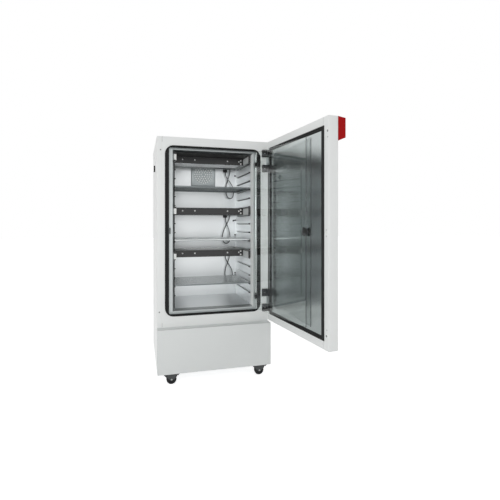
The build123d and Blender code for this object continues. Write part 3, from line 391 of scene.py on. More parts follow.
# frame between a low and a high corner: each profile point is (inset across, inset along,
# corner radius, level), and the profile closes on itself
def frameRing(low, high, profile, steps=0):
    work = bmesh.new()
    rings = []
    for across, along, radius, level in profile:
        ring = []
        for side, (signX, signY) in enumerate(((-1, -1), (1, -1), (1, 1), (-1, 1))):
            centreX = (low[0] + across + radius) if signX < 0 else (high[0] - across - radius)
            centreY = (low[1] + along + radius) if signY < 0 else (high[1] - along - radius)
            for step in range(steps + 1):
                turn = math.radians(180 + 90 * side + (90 * step / steps if steps else 45))
                reach = radius if steps else radius * math.sqrt(2)
                ring.append(work.verts.new(Vector((
                    centreX + reach * math.cos(turn), centreY + reach * math.sin(turn), level)) * mm))
        rings.append(ring)
    for k, near in enumerate(rings):
        far = rings[(k + 1) % len(rings)]
        for j in range(len(near)):
            work.faces.new((near[j], near[(j + 1) % len(near)], far[(j + 1) % len(near)], far[j]))
    mesh = bpy.data.meshes.new("ring")
    bmesh.ops.recalc_face_normals(work, faces=work.faces)
    work.to_mesh(mesh)
    work.free()
    return mesh


# copies a node, merges its triangles, rounds its edges and gives each face its finish
def dress(nodeName, looks, pick=None, bevel=0.0, keep=None):
    mesh = nodes[nodeName].data.copy()
    mesh.materials.clear()
    work = bmesh.new()
    work.from_mesh(mesh)
    if keep:
        outside = [face for face in work.faces if not keep(face.calc_center_median() / mm)]
        bmesh.ops.delete(work, geom=outside, context="FACES")
    bmesh.ops.remove_doubles(work, verts=work.verts, dist=meshValues["nodeWeld"])
    bmesh.ops.dissolve_limit(work, angle_limit=math.radians(meshValues["flatWithin"]),
                             verts=work.verts, edges=work.edges)
    work.to_mesh(mesh)
    work.free()
    if bevel:
        mesh = settle(mesh, bevel)
        mesh.materials.clear()
    for look in looks:
        mesh.materials.append(finishes[look])
    if pick:
        for face in mesh.polygons:
            face.material_index = pick(face.center / mm, face.normal)
    place("dressed_" + nodeName, mesh, nodes[nodeName]["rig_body"], (nodeName,))


def openTree(name, values):
    tree = bpy.data.node_groups.new(name, "GeometryNodeTree")
    kinds = {float: "NodeSocketFloat", int: "NodeSocketInt", tuple: "NodeSocketVector"}
    tree.interface.new_socket("Points", in_out="INPUT", socket_type="NodeSocketGeometry")
    for label, value in values.items():
        made = tree.interface.new_socket(label, in_out="INPUT", socket_type=kinds[type(value)])
        made.default_value = value
    tree.interface.new_socket("Finish", in_out="INPUT", socket_type="NodeSocketMaterial")
    tree.interface.new_socket("Geometry", in_out="OUTPUT", socket_type="NodeSocketGeometry")
    return tree, addNode(tree, "NodeGroupInput").outputs


def closeTree(tree, geometry, given):
    real = addNode(tree, "GeometryNodeRealizeInstances", inputs={"Geometry": geometry})
    made = addNode(tree, "GeometryNodeSetMaterial", inputs={
        "Geometry": real.outputs[0], "Material": given["Finish"]})
    addNode(tree, "NodeGroupOutput", inputs={0: made.outputs[0]})


# runs a geometry tree on a cloud of points in millimetres and returns the plain mesh
def grow(tree, spots, values, look, move=None):
    cloud = bpy.data.meshes.new("cloud")
    cloud.from_pydata([tuple(Vector(spot) * mm) for spot in spots], [], [])
    holder = bpy.data.objects.new("holder", cloud)
    scene.collection.objects.link(holder)
    modifier = holder.modifiers.new("grown", "NODES")
    modifier.node_group = tree
    for item in tree.interface.items_tree:
        if item.in_out == "INPUT" and item.name in values:
            modifier[item.identifier] = values[item.name]
        if item.in_out == "INPUT" and item.name == "Finish":
            modifier[item.identifier] = finishes[look]
    mesh = bpy.data.meshes.new_from_object(holder.evaluated_get(bpy.context.evaluated_depsgraph_get()))
    holder.modifiers.remove(modifier)
    bpy.data.objects.remove(holder)
    return unite([mesh], look, move)


# round caps, screw heads and end caps on a cloud of points
capTree, given = openTree("roundCaps", {
    "Radius": 0.004, "Rise": 0.0015, "Taper": 0.72, "Facing": (0.0, 0.0, 0.0)})
narrow = addNode(capTree, "ShaderNodeMath", {"operation": "MULTIPLY"}, {0: given["Radius"], 1: given["Taper"]})
foot = addNode(capTree, "GeometryNodeMeshCone", {"fill_type": "NGON"}, {
    "Vertices": 20, "Side Segments": 1, "Depth": given["Rise"], "Radius Bottom": given["Radius"],
    "Radius Top": narrow.outputs[0]})
caps = addNode(capTree, "GeometryNodeInstanceOnPoints", inputs={
    "Points": given["Points"], "Instance": foot.outputs["Mesh"], "Rotation": given["Facing"]})
closeTree(capTree, caps.outputs[0], given)

# louvre hoods: a quarter-round bar over each slot
louvreTree, given = openTree("louvreHoods", {"Width": 0.52, "Reach": 0.006})
half = addNode(louvreTree, "ShaderNodeMath", {"operation": "MULTIPLY"}, {0: given["Width"], 1: 0.5})
back = addNode(louvreTree, "ShaderNodeMath", {"operation": "MULTIPLY"}, {0: given["Width"], 1: -0.5})
ends = [addNode(louvreTree, "ShaderNodeCombineXYZ", inputs={"X": side.outputs[0]}) for side in (back, half)]
spine = addNode(louvreTree, "GeometryNodeCurvePrimitiveLine", inputs={
    "Start": ends[0].outputs[0], "End": ends[1].outputs[0]})
quarter = addNode(louvreTree, "GeometryNodeCurveArc", inputs={
    "Resolution": 7, "Radius": given["Reach"], "Start Angle": 0.0, "Sweep Angle": math.pi / 2,
    "Connect Center": True})
hood = addNode(louvreTree, "GeometryNodeCurveToMesh", inputs={
    "Curve": spine.outputs[0], "Profile Curve": quarter.outputs[0], "Fill Caps": True})
hoods = addNode(louvreTree, "GeometryNodeInstanceOnPoints", inputs={
    "Points": given["Points"], "Instance": hood.outputs[0]})
closeTree(louvreTree, hoods.outputs[0], given)

# sheet with round holes: square tiles with a hole, welded and given their thickness
sheetTree, given = openTree("perforatedSheet", {
    "Pitch X": 0.011, "Pitch Y": 0.011, "Thickness": 0.0015, "Columns": 40, "Rows": 30, "Hole Radius": 0.004})
square = addNode(sheetTree, "GeometryNodeCurvePrimitiveQuadrilateral", inputs={
    "Width": given["Pitch X"], "Height": given["Pitch Y"]})
hole = addNode(sheetTree, "GeometryNodeCurvePrimitiveCircle", inputs={
    "Resolution": 8, "Radius": given["Hole Radius"]})
both = addNode(sheetTree, "GeometryNodeJoinGeometry")
for outline in (square, hole):
    sheetTree.links.new(outline.outputs[0], both.inputs[0])
tile = addNode(sheetTree, "GeometryNodeFillCurve", inputs={"Curve": both.outputs[0]})
spans = []
for pitch, count in (("Pitch X", "Columns"), ("Pitch Y", "Rows")):
    gaps = addNode(sheetTree, "ShaderNodeMath", {"operation": "SUBTRACT"}, {0: given[count], 1: 1.0})
    spans.append(addNode(sheetTree, "ShaderNodeMath", {"operation": "MULTIPLY"}, {
        0: given[pitch], 1: gaps.outputs[0]}).outputs[0])
field = addNode(sheetTree, "GeometryNodeMeshGrid", inputs={
    "Size X": spans[0], "Size Y": spans[1], "Vertices X": given["Columns"], "Vertices Y": given["Rows"]})
tiles = addNode(sheetTree, "GeometryNodeInstanceOnPoints", inputs={
    "Points": field.outputs["Mesh"], "Instance": tile.outputs[0]})
tilesReal = addNode(sheetTree, "GeometryNodeRealizeInstances", inputs={"Geometry": tiles.outputs[0]})
welded = addNode(sheetTree, "GeometryNodeMergeByDistance", inputs={
    "Geometry": tilesReal.outputs[0], "Distance": 0.00005})
down = addNode(sheetTree, "ShaderNodeMath", {"operation": "MULTIPLY"}, {0: given["Thickness"], 1: -1.0})
drop = addNode(sheetTree, "ShaderNodeCombineXYZ", inputs={"Z": down.outputs[0]})
thick = addNode(sheetTree, "GeometryNodeExtrudeMesh", {"mode": "FACES"}, {
    "Mesh": welded.outputs[0], "Offset": drop.outputs[0], "Offset Scale": 1.0, "Individual": False})
turned = addNode(sheetTree, "GeometryNodeFlipFaces", inputs={"Mesh": welded.outputs[0]})
stack = addNode(sheetTree, "GeometryNodeJoinGeometry")
for layer in (thick.outputs["Mesh"], turned.outputs[0]):
    sheetTree.links.new(layer, stack.inputs[0])
merged = addNode(sheetTree, "GeometryNodeMergeByDistance", inputs={
    "Geometry": stack.outputs[0], "Distance": 0.00001})
sheets = addNode(sheetTree, "GeometryNodeInstanceOnPoints", inputs={
    "Points": given["Points"], "Instance": merged.outputs[0]})
closeTree(sheetTree, sheets.outputs[0], given)
print("geometry trees made")


# a shift in millimetres and then a turn in degrees about an axis
def moved(x, y, z, angle, axis):
    return Matrix.Translation(Vector((x, y, z)) * mm) @ Matrix.Rotation(math.radians(angle), 4, axis)


# caps of one size as a piece, in millimetres and degrees; they face forwards unless told otherwise
def capPiece(name, spots, radius, rise, look, body, facing=(90, 0, 0), taper=0.72, move=None):
    place(name, grow(capTree, spots, {
        "Radius": radius * mm, "Rise": rise * mm, "Taper": taper,
        "Facing": tuple(math.radians(angle) for angle in facing)}, look, move), body)


# places on the door are (from the hinge, outwards, up); both doors stand open at rest
doorValues = {"hinge": (455, -409.5, 0), "open": 96.5}
doorMove = moved(*doorValues["hinge"], 180 + doorValues["open"], "Z")
toDoor = doorMove.inverted()

# shelves: perforated deck inside a folded rim, with painted shade in a darker steel below and in front; the top
# shelf is painted shade on all but its upper side, and the mid shelf's front is left bright above the lip
shelfValues = {"pitch": 11.0, "hole": 3.7, "margin": 13, "wall": 1.5, "lip": 4, "ease": 0.4,
               "shadedButTop": "shelf_top", "bright": "shelf_mid", "upward": 0.5, "frontward": 0.8}
margin, wall = shelfValues["margin"], shelfValues["wall"]
for shelf in ("shelf_top", "shelf_mid", "shelf_low"):
    low, high = (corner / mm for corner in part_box(shelf))
    size, middle = high - low, (low + high) / 2
    lipTop = low.z + shelfValues["lip"]
    columns, rows = (int((size[axis] - 2 * margin) / shelfValues["pitch"]) for axis in range(2))
    deck = grow(sheetTree, [(middle.x, middle.y, high.z)], {
        "Pitch X": (size.x - 2 * margin) / columns * mm, "Pitch Y": (size.y - 2 * margin) / rows * mm,
        "Thickness": wall * mm, "Columns": columns, "Rows": rows,
        "Hole Radius": shelfValues["hole"] * mm}, "shelfSteel")
    rim = unite([settle(frameRing(low.xy, high.xy, [
        (0, 0, 0, low.z), (0, 0, 0, lipTop), (0, 0, 0, high.z), (margin, margin, 0, high.z),
        (margin, margin, 0, high.z - wall), (wall, wall, 0, high.z - wall), (wall, wall, 0, low.z)]),
        shelfValues["ease"])], "shelfSteel")
    # painted shade: faces turned below this limit, and front faces except the mid shelf's above the lip, take the
    # darker steel
    shadeBelow = shelfValues["upward"] * (1 if shelf == shelfValues["shadedButTop"] else -1)
    for mesh in (deck, rim):
        mesh.materials.append(finishes["shelfPaintedShade"])
        for face in mesh.polygons:
            inFront = face.normal.y < -shelfValues["frontward"]
            aboveLip = shelf == shelfValues["bright"] and face.center.z / mm >= lipTop
            face.material_index = 1 if face.normal.z < shadeBelow or inFront and not aboveLip else 0
    place("deck_" + shelf, deck, shelf, (shelf,))
    place("rim_" + shelf, rim, shelf, (shelf,))
print("shelves made")

# lamp cassettes: black front bar with white dots and two white plugs at its right end, a white cap
# on the left arm, black edging on the right arm and a reflector above the tubes
cassetteValues = {
    "barFront": -166, "barBack": -154, "barEnd": 277, "armFront": -344, "armInner": 305, "armOuter": 324.5,
    "armCap": 46, "height": 60, "dots": (-236, -129, 162, 266), "dotLevel": 33, "dotRadius": 6.5, "dotRise": 2.5,
    "dotOut": 0.5, "plugLevels": (8, 37), "plugSide": 13, "plugOut": 1.2, "plugIn": 0.4, "plugEase": 0.5,
    "capOut": 0.6, "capIn": 0.3, "capEase": 0.25, "edging": 7, "edgingOut": 1.4, "edgingIn": 0.2,
    "edgingEase": 0.4, "inset": 0.4,
    "near": 0.5, "barNear": 1, "armWall": 10, "upward": 0.5, "inward": 0.9}
barFront, barBack, barEnd = (cassetteValues[key] for key in ("barFront", "barBack", "barEnd"))
armFront, armInner, armOuter = (cassetteValues[key] for key in ("armFront", "armInner", "armOuter"))
plugSide, inset = cassetteValues["plugSide"], cassetteValues["inset"]


# arm faces turned to the left, such as the right arm's inner side, take white powder as painted light; upward faces
# between the arms take white powder too
def cassetteFace(centre, normal):
    if abs(centre.x) < armInner - cassetteValues["near"]:
        if barFront - cassetteValues["barNear"] < centre.y < barBack + cassetteValues["barNear"]:
            return 1
        return 3 if normal.z > cassetteValues["upward"] else 2
    if centre.y < armFront + cassetteValues["near"]:
        return 1
    onInside = normal.x < -cassetteValues["inward"] and centre.x < armOuter - cassetteValues["armWall"]
    return 3 if onInside else 0


dots, whiteCaps, edging = [], [], []
for levelName, low in cableValues["levels"].items():
    dress("cassette_" + levelName, ["throat", "enamelAndPaintedShade", "mirror", "coverPowderAndPaintedLight"], cassetteFace)
    dots += [(x, barFront - cassetteValues["dotOut"], low + cassetteValues["dotLevel"])
             for x in cassetteValues["dots"]]
    for rise in cassetteValues["plugLevels"]:
        whiteCaps.append(bar(
            (barEnd, barFront - cassetteValues["plugOut"], low + rise),
            (barEnd + plugSide, barFront + cassetteValues["plugIn"], low + rise + plugSide),
            cassetteValues["plugEase"]))
    whiteCaps.append(bar(
        (-armOuter + inset, armFront - cassetteValues["capOut"], low + inset),
        (-armInner, armFront + cassetteValues["capIn"], low + cassetteValues["armCap"]),
        cassetteValues["capEase"]))
    top = low + cassetteValues["height"]
    edging.append(bar(
        (armInner - cassetteValues["edgingOut"], armFront + inset, top - cassetteValues["edging"]),
        (armInner + cassetteValues["edgingIn"], barFront, top - inset), cassetteValues["edgingEase"]))
capPiece("cassetteDots", dots, cassetteValues["dotRadius"], cassetteValues["dotRise"], "whitePlastic",
         "cabinet")
place("cassetteCaps", unite(whiteCaps, "whitePlastic"), "cabinet")
place("armEdging", unite(edging, "enamelAndPaintedShade"), "cabinet")

# lamp tube ends: aluminium caps over the glass
tubeValues = {"end": 304.5, "cap": 13, "radius": 13.3, "gap": 0.2, "rows": (-103, -45, 13, 71), "level": 20}
for side, sideName in ((-1, "Left"), (1, "Right")):
    tubeEnds = [(side * (tubeValues["end"] - tubeValues["cap"]), y, low + tubeValues["level"])
                for low in cableValues["levels"].values() for y in tubeValues["rows"]]
    capPiece("tubeCaps" + sideName, tubeEnds, tubeValues["radius"], tubeValues["cap"] - tubeValues["gap"],
             "fins", "cabinet", facing=(0, 90 * side, 0), taper=1.0)
print("cassettes made")

# chamber: rails with painted shade in black on their undersides and front ends, a throat with a lip, painted
# shade on its undersides and painted light on its right side, a black plate painted as shade under the ceiling,
# dark studs in the rear corner, a perforated strip over the return slots, and a light mat behind the fan cover
chamberValues = {
    "underside": -0.3, "front": -0.7, "rightSide": -0.5, "backWall": 190,
    "studs": ((318, 1758), (301, 1315), (318, 1319), (318, 1174), (318, 1150), (318, 798), (318, 776)),
    "studRadius": 8.5, "studRise": 6, "studOut": 0.1,
    "stripHalf": 252, "stripLevel": 638, "stripOut": 1.2, "stripPitch": 8, "stripHole": 1.6, "stripRows": 3,
    "mat": (0, 181.6, 1760), "matRadius": 92, "matRise": 1, "fanEase": 0.6,
    "trim": ((-304, -343, 1870.4), (304, -168, 1871.6)), "trimEase": 0.3}


# painted shade: the rails' undersides and front ends take black enamel
def railFace(centre, normal):
    return 1 if normal.z < chamberValues["underside"] or normal.y < chamberValues["front"] else 0


# painted shade on the throat's undersides in the darker shelf steel, and painted light in white powder on its inward
# right side
def throatFace(centre, normal):
    if normal.z < chamberValues["underside"]:
        return 1
    if normal.y < chamberValues["front"]:
        return 2
    return 3 if normal.x < chamberValues["rightSide"] else 0


dress("shelf_rails", ["stainless", "enamelAndPaintedShade"], railFace)
dress("chamber_throat", ["throat", "shelfPaintedShade", "throatLip", "coverPowderAndPaintedLight"], throatFace)
# a black plate painted as shade under the ceiling
place("ceilingShadePlate", unite([bar(*chamberValues["trim"], chamberValues["trimEase"])], "enamelAndPaintedShade"),
      "cabinet")
studBase = chamberValues["backWall"] - chamberValues["studOut"]
capPiece("cornerStuds", [(x, studBase, z) for x, z in chamberValues["studs"]], chamberValues["studRadius"],
         chamberValues["studRise"], "blackPlastic", "cabinet")
stripPitch = chamberValues["stripPitch"]
standing = moved(0, chamberValues["backWall"] - chamberValues["stripOut"], chamberValues["stripLevel"], 90, "X")
place("returnStrip", grow(sheetTree, [(0, 0, 0)], {
    "Pitch X": stripPitch * mm, "Pitch Y": stripPitch * mm, "Thickness": 1 * mm,
    "Columns": int(2 * chamberValues["stripHalf"] / stripPitch), "Rows": chamberValues["stripRows"],
    "Hole Radius": chamberValues["stripHole"] * mm}, "stainless", standing), "cabinet")
dress("fan_cover", ["fanPlate"], bevel=chamberValues["fanEase"])
capPiece("fanMat", [chamberValues["mat"]], chamberValues["matRadius"], chamberValues["matRise"],
         "whitePlastic", "cabinet", taper=1.0)

# seals: hollow-looking bellows section on the cabinet, mitred bellows on the door; the cabinet's
# section is (share of the width, rise) and the door's (inset, outwards)
sealValues = {"low": (-400, 543), "high": (400, 1915), "face": -400, "cornerSteps": 8, "innerTrim": -350,
              "section": [(0, 0), (0, 3), (0.1, 6.2), (0.28, 7.7), (0.42, 7), (0.5, 4), (0.58, 7), (0.74, 7.7),
                          (0.92, 6.2), (1, 3), (1, 0)],
              "width": (32, 20), "corner": (70, 12),
              "doorLow": (45, 524), "doorHigh": (865, 1927),
              "doorSection": [(0, 6.5), (0, 3.2), (1.8, 0.4), (5, -1.2), (11, -1.2), (14, 2.2), (17, -1.2),
                              (22, -1.2), (26, 0.4), (28, 3), (28, 6.5)]}
across, along = sealValues["width"]
outerCorner, innerCorner = sealValues["corner"]
cabinetRing = frameRing(sealValues["low"], sealValues["high"], [
    (across * share, along * share, outerCorner + (innerCorner - outerCorner) * share, rise)
    for share, rise in sealValues["section"]], sealValues["cornerSteps"])
place("cabinetSeal", unite([cabinetRing], "blackRubber", moved(0, sealValues["face"], 0, 90, "X")),
      "cabinet", ("chamber_seals",))
dress("chamber_seals", ["blackRubber"], keep=lambda centre: centre.y > sealValues["innerTrim"])
doorRing = frameRing(sealValues["doorLow"], sealValues["doorHigh"], [
    (inset, inset, 0, -level) for inset, level in sealValues["doorSection"]])
place("doorSeal", unite([doorRing], "blackRubber", doorMove @ moved(0, 0, 0, 90, "X")),
      "outer_door", ("door_gasket",))
print("chamber and seals made")

# housing: eased sheet edges, white catch plate, plugs over the screw holes, screws, and dark strips painted as shade
# in the seams
housingValues = {
    "eases": (("front_frame", "whitePowder", 1.2), ("side_panels", "whitePowder", 0.6),
              ("top_panel", "whitePowder", 0.6), ("rear_panel", "whitePowder", 0.5),
              ("lower_cover", "coverPowderAndPaintedLight", 0), ("door_panel", "whitePowder", 1.2),
              ("hinge_blocks", "blackPlastic", 0.8), ("glass_fittings", "blackPlastic", 0.6),
              ("instrument_housing", "redPlastic", 1.5)),
    "fittingEase": 0.8, "catchBeyond": 850, "catchWithin": 8,
    "front": -400, "greyPlugs": ((-434, 1875), (-443, 583)),
    "palePlugs": ((-416, 1815), (-421, 642), (-420, 1265), (-420, 1228)),
    "doorInner": 6.5, "doorGrey": ((903, 1885), (890, 563)), "doorPale": ((905, 1845), (895, 603)),
    "catchFace": 4.5, "catchScrews": ((892.5, 1247), (892.5, 1207)), "sunk": 0.1, "plugRise": 1.6,
    "frameSeams": ((-422.4, 464, 495), (-422.4, 1936, 1981)),
    "doorSeams": ((852, 1931, 1980), (852, 471, 520)),
    "seamWidth": 1.2, "seamOut": 0.15, "seamIn": 0.2,
    "hingeScrews": (435, -414.9, (573, 701, 1755.5, 1883.5)), "screwRadius": 5.5, "screwRise": 0.7,
}
for nodeName, look, ease in housingValues["eases"]:
    dress(nodeName, [look], bevel=ease)


def fittingFace(centre, normal):
    spot = toDoor @ (centre * mm) / mm
    return 1 if spot.y < housingValues["catchWithin"] and spot.x > housingValues["catchBeyond"] else 0


dress("door_fittings", ["screwSteel", "whitePlastic"], fittingFace, bevel=housingValues["fittingEase"])
# a clear pane that cast a shadow would darken what lies behind it
nodes["glass_pane"].visible_shadow = False
for name, body, look, radius, spots, face, move, slotName in (
        ("greyPlugs", "cabinet", "plugGrey", 5.5, "greyPlugs", "front", None, "key_plastic"),
        ("palePlugs", "cabinet", "whitePlastic", 4.5, "palePlugs", "front", None, "key_plastic"),
        ("greyPlugsDoor", "outer_door", "plugGrey", 7.5, "doorGrey", "doorInner", doorMove, "key_plastic"),
        ("palePlugsDoor", "outer_door", "greyPlastic", 5, "doorPale", "doorInner", doorMove, "key_plastic"),
        ("catchScrews", "outer_door", "screwSteel", 5, "catchScrews", "catchFace", doorMove, "zinc_steel")):
    level = housingValues[face] + housingValues["sunk"]
    capPiece(name, [(x, level, z) for x, z in housingValues[spots]], radius, housingValues["plugRise"], look,
             body, move=move)
# dark strips in the sheet joints, painted shade
for name, body, face, move in (
        ("frameSeams", "cabinet", "front", None), ("doorSeams", "outer_door", "doorInner", doorMove)):
    level = housingValues[face]
    strips = [bar((x, level - housingValues["seamOut"], low),
                  (x + housingValues["seamWidth"], level + housingValues["seamIn"], high))
              for x, low, high in housingValues[name]]
    place(name, unite(strips, "seamShade", move), body)
screwX, screwY, screwLevels = housingValues["hingeScrews"]
capPiece("hingeScrews", [(screwX, screwY, z) for z in screwLevels], housingValues["screwRadius"],
         housingValues["screwRise"], "screwSteel", "cabinet")

# the door's half of each hinge: thin black plates in front of the blocks on the frame, and a strip
plateValues = {"face": 6.5, "out": 0.3, "in": 0.2, "plate": (1.5, 44), "levels": (637, 1819.5), "from": 34, "to": 94,
               "strip": (5, 28), "stripEnds": (545, 1905)}
outlines = []
for level in plateValues["levels"]:
    outlines.append((plateValues["plate"], (level - plateValues["to"], level - plateValues["from"])))
    outlines.append((plateValues["plate"], (level + plateValues["from"], level + plateValues["to"])))
outlines.append((plateValues["strip"], plateValues["stripEnds"]))
nearFace, farFace = plateValues["face"] - plateValues["out"], plateValues["face"] + plateValues["in"]
plates = [bar((near, nearFace, low), (far, farFace, high)) for (near, far), (low, high) in outlines]
place("hingePlates", unite(plates, "blackPlastic", doorMove), "outer_door")

# access port: black collar round the light plug
portValues = {"place": (-466.4, -50, 1767), "outer": 28.5, "inner": 20.5, "rise": 8, "ease": 1.5, "steps": 7}
outer, inner, rise, ease = (portValues[key] for key in ("outer", "inner", "rise", "ease"))
wall = outer - inner
collar = frameRing((-outer, -outer), (outer, outer), [
    (0, 0, outer, 0), (0, 0, outer, rise - ease), (ease, ease, outer - ease, rise),
    (wall, wall, inner, rise), (wall, wall, inner, 0)], portValues["steps"])
place("portCollar", unite([collar], "blackRubber", moved(*portValues["place"], -90, "Y")),
      "cabinet")

# rear: hoods over the louvre slots and screws round the panel
rearValues = {"face": 398.5, "sunk": 0.2, "centre": (60, 330), "pitch": 34, "count": 7, "drop": 3, "width": 530,
              "reach": 8, "screwX": 448, "screwSunk": 0.1, "screwLevels": (170, 530, 890, 1250, 1610, 1955),
              "screwRadius": 5, "screwRise": 2.2}
centreX, centreZ = rearValues["centre"]
steps = [k - (rearValues["count"] - 1) / 2 for k in range(rearValues["count"])]
hoodPlaces = [(centreX, rearValues["face"] - rearValues["sunk"],
               centreZ + rearValues["pitch"] * step - rearValues["drop"]) for step in steps]
place("rearLouvres", grow(louvreTree, hoodPlaces, {
    "Width": rearValues["width"] * mm, "Reach": rearValues["reach"] * mm}, "whitePowder"),
    "cabinet")
rearScrews = [(side * rearValues["screwX"], rearValues["face"] - rearValues["screwSunk"], z)
              for side in (-1, 1) for z in rearValues["screwLevels"]]
capPiece("rearScrews", rearScrews, rearValues["screwRadius"], rearValues["screwRise"], "screwSteel",
         "cabinet", facing=(-90, 0, 0))
print("housing made")

# castors: forks in dark grey paint with grey axle caps, and dark wheels with a grey hub disc
castorValues = {"hub": 10.5, "hubSunk": 0.1, "axle": 7, "axleEnd": 22, "rise": 1.2, "taper": 0.9, "forkEase": 0.6,
                "pedalEase": 0.5}
for corner in ("fl", "fr", "rl", "rr"):
    dress("castor_fork_" + corner, ["forkSteel"], bevel=castorValues["forkEase"])
    dress("castor_wheel_" + corner, ["tyre"])
    low, high = (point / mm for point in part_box("castor_wheel_" + corner))
    middle, size = (low + high) / 2, high - low
    axis = min(range(2), key=lambda way: size[way])
    for name, body, out, radius in (
            ("hubs_", "castor_wheel_", size[axis] / 2 - castorValues["hubSunk"], castorValues["hub"]),
            ("axleCaps_", "castor_fork_", castorValues["axleEnd"], castorValues["axle"])):
        discs = []
        for side in (-1, 1):
            spot = middle.copy()
            spot[axis] += side * out
            turn = math.radians(90 * side)
            discs.append(grow(capTree, [spot], {
                "Radius": radius * mm, "Rise": castorValues["rise"] * mm, "Taper": castorValues["taper"],
                "Facing": (0, turn, 0) if axis == 0 else (-turn, 0, 0)}, "greyPlastic"))
        place(name + corner, unite(discs, "greyPlastic"), body + corner)
for corner in ("fl", "fr"):
    dress("brake_pedal_" + corner, ["enamelAndPaintedShade"], bevel=castorValues["pedalEase"])
print("castors made")

# display: two rows of seven-part figures as (level, digits, height, width, decimals), and a sign
# on each key as (sides, turn)
displayValues = {
    "face": 135.75, "rise": 0.5, "left": 774, "stroke": 2.6, "gap": 2.2, "partGap": 0.3,
    "pointShift": 0.6, "pointHalf": 1.3,
    "rows": ((1927, "250", 24, 13, 1), (1896, "600", 18, 10, 1)),
    "keys": {"key_set": (24, 0), "key_down": (3, -90), "key_up": (3, 90)},
    "signRadius": 5, "signDeep": 0.4, "signOut": 0.15,
}
litParts = {"0": "abcdef", "2": "abged", "5": "afgcd", "6": "afgedc"}
displayFace, stroke = displayValues["face"], displayValues["stroke"]
displayFront = displayFace + displayValues["rise"]


# one figure as flat bars: centre (across, up), height and width, mirrored because the
# distance from the hinge grows to the left as one faces the door
def figureBars(digit, across, up, tall, wide):
    half, side, thick = tall / 2, wide / 2, stroke / 2
    spans = {"a": (-side, side, half, half), "g": (-side, side, 0, 0), "d": (-side, side, -half, -half),
             "b": (side, side, 0, half), "c": (side, side, -half, 0),
             "f": (-side, -side, 0, half), "e": (-side, -side, -half, 0)}
    made = []
    for part in litParts[digit]:
        left, right, low, high = spans[part]
        inset = displayValues["partGap"] + thick
        if left == right:
            left, right, low, high = left - thick, right + thick, low + inset, high - inset
        else:
            left, right, low, high = left + inset, right - inset, low - thick, high + thick
        made.append(bar((across - right, displayFace, up + low), (across - left, displayFront, up + high)))
    return made


figures = []
for up, digits, tall, wide, decimals in displayValues["rows"]:
    step = wide + displayValues["gap"] * stroke
    for column, digit in enumerate(digits):
        figures += figureBars(digit, displayValues["left"] - wide / 2 - column * step, up, tall, wide)
    point = displayValues["left"] - (len(digits) - decimals) * step + displayValues["pointShift"] * stroke
    foot, dot = up - tall / 2, displayValues["pointHalf"]
    figures.append(bar((point - dot, displayFace, foot - dot), (point + dot, displayFront, foot + dot)))
place("displayFigures", unite(figures, "figure", doorMove), "outer_door")

for keyName, (sides, turn) in displayValues["keys"].items():
    low, high = (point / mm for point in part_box(keyName))
    middle = toDoor @ ((low + high) / 2 * mm) / mm
    reach = max((toDoor @ vertex.co).y for vertex in nodes[keyName].data.vertices) / mm
    work = bmesh.new()
    bmesh.ops.create_cone(work, cap_ends=True, segments=sides, radius1=displayValues["signRadius"] * mm,
                          radius2=displayValues["signRadius"] * mm, depth=displayValues["signDeep"] * mm)
    sign = bpy.data.meshes.new("sign")
    work.to_mesh(sign)
    work.free()
    move = doorMove @ moved(middle.x, reach + displayValues["signOut"], middle.z, 90, "X")
    move = move @ moved(0, 0, 0, turn, "Z")
    place("sign_" + keyName, unite([sign], "enamelAndPaintedShade", move), nodes[keyName]["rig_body"])
print("display made")


# share of a ray that looks at the surround directly, in a glossy surface or through glass
def seenShare(tree):
    rays = addNode(tree, "ShaderNodeLightPath").outputs
    looked = addNode(tree, "ShaderNodeMath", {"operation": "MAXIMUM"}, {
        0: rays["Is Camera Ray"], 1: rays["Is Glossy Ray"]})
    return addNode(tree, "ShaderNodeMath", {"operation": "MAXIMUM"}, {
        0: looked.outputs[0], 1: rays["Is Transmission Ray"]}).outputs[0]


# studio: a floor that shows white and keeps a pale shadow, and a white surround that metal
# and glass also show
studioValues = {"floorHalf": 30, "floor": "F7F7F7", "floorGlow": 0.7, "dim": 0.5, "bright": 1.0}
half = studioValues["floorHalf"]
floorMesh = bpy.data.meshes.new("studioFloor")
floorMesh.from_pydata([(-half, -half, 0), (half, -half, 0), (half, half, 0), (-half, half, 0)], [], [(0, 1, 2, 3)])
floor = bpy.data.objects.new("studioFloor", floorMesh)
scene.collection.objects.link(floor)
floorPaint = bpy.data.materials.new("studioFloorPaint")
floorPaint.use_nodes = True
tree = floorPaint.node_tree
tree.nodes.clear()
matte = addNode(tree, "ShaderNodeBsdfDiffuse", inputs={"Color": linear(studioValues["floor"])})
glow = addNode(tree, "ShaderNodeEmission", inputs={"Strength": studioValues["floorGlow"]})
pale = addNode(tree, "ShaderNodeAddShader", inputs={0: matte.outputs[0], 1: glow.outputs[0]})
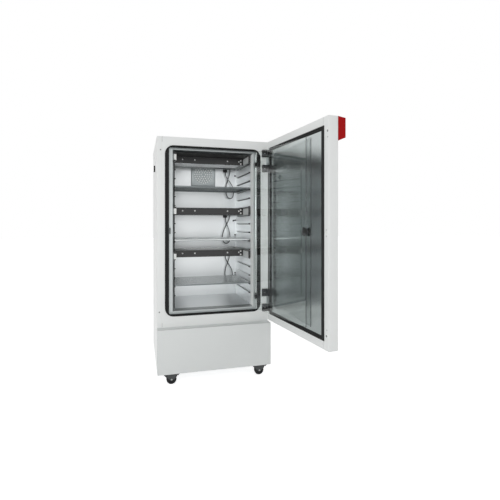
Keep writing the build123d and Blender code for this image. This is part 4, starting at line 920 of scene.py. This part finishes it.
white = addNode(tree, "ShaderNodeMixShader", inputs={0: seenShare(tree), 1: matte.outputs[0], 2: pale.outputs[0]})
addNode(tree, "ShaderNodeOutputMaterial", inputs={"Surface": white.outputs[0]})
floorMesh.materials.append(floorPaint)

world = bpy.data.worlds.new("studioWorld")
scene.world = world
world.use_nodes = True
tree = world.node_tree
tree.nodes.clear()
dim, bright = (addNode(tree, "ShaderNodeBackground", inputs={
    "Color": (1, 1, 1, 1), "Strength": studioValues[level]}) for level in ("dim", "bright"))
surround = addNode(tree, "ShaderNodeMixShader", inputs={
    0: seenShare(tree), 1: dim.outputs[0], 2: bright.outputs[0]})
addNode(tree, "ShaderNodeOutputWorld", inputs={"Surface": surround.outputs[0]})

# lamps as (place, aim, width, power) in metres and watts; the chamber ones hang unseen
# under cassettes and shelves
lampValues = {
    "key": ((-2.8, -4.2, 2.5), (0, -0.2, 0.7), 2.4, 43),
    "fill": ((2.2, -4.6, 1.6), (0.2, -0.4, 0.9), 2.4, 18),
    "side": ((-4.2, 0.6, 1.4), (-0.4, 0, 1.0), 1.8, 18),
    "inside": ((-0.9, -2.5, 1.3), (0.1, 0.2, 1.0), 0.8, 7),
    "upper": ((0, -0.05, 1.8), (0, -0.05, 0), 0.4, 0.25),
    "underTop": ((0, -0.05, 1.575), (0, -0.05, 0), 0.4, 0.1),
    "underMid": ((0, -0.05, 1.13), (0, -0.05, 0), 0.4, 0.12),
    "lower": ((0, -0.05, 0.986), (0, -0.05, 0), 0.4, 0.25),
    "underLow": ((0, -0.05, 0.765), (0, -0.05, 0), 0.4, 0.25),
}
for lampName, (spot, aim, width, power) in lampValues.items():
    light = bpy.data.lights.new("lamp_" + lampName, "AREA")
    light.size = width
    light.energy = power
    lamp = bpy.data.objects.new("lamp_" + lampName, light)
    lamp.location = spot
    lamp.rotation_euler = (Vector(aim) - Vector(spot)).to_track_quat("-Z", "Y").to_euler()
    lamp.visible_camera = False
    scene.collection.objects.link(lamp)
scene.view_settings.view_transform = "Standard"
print("studio lit")
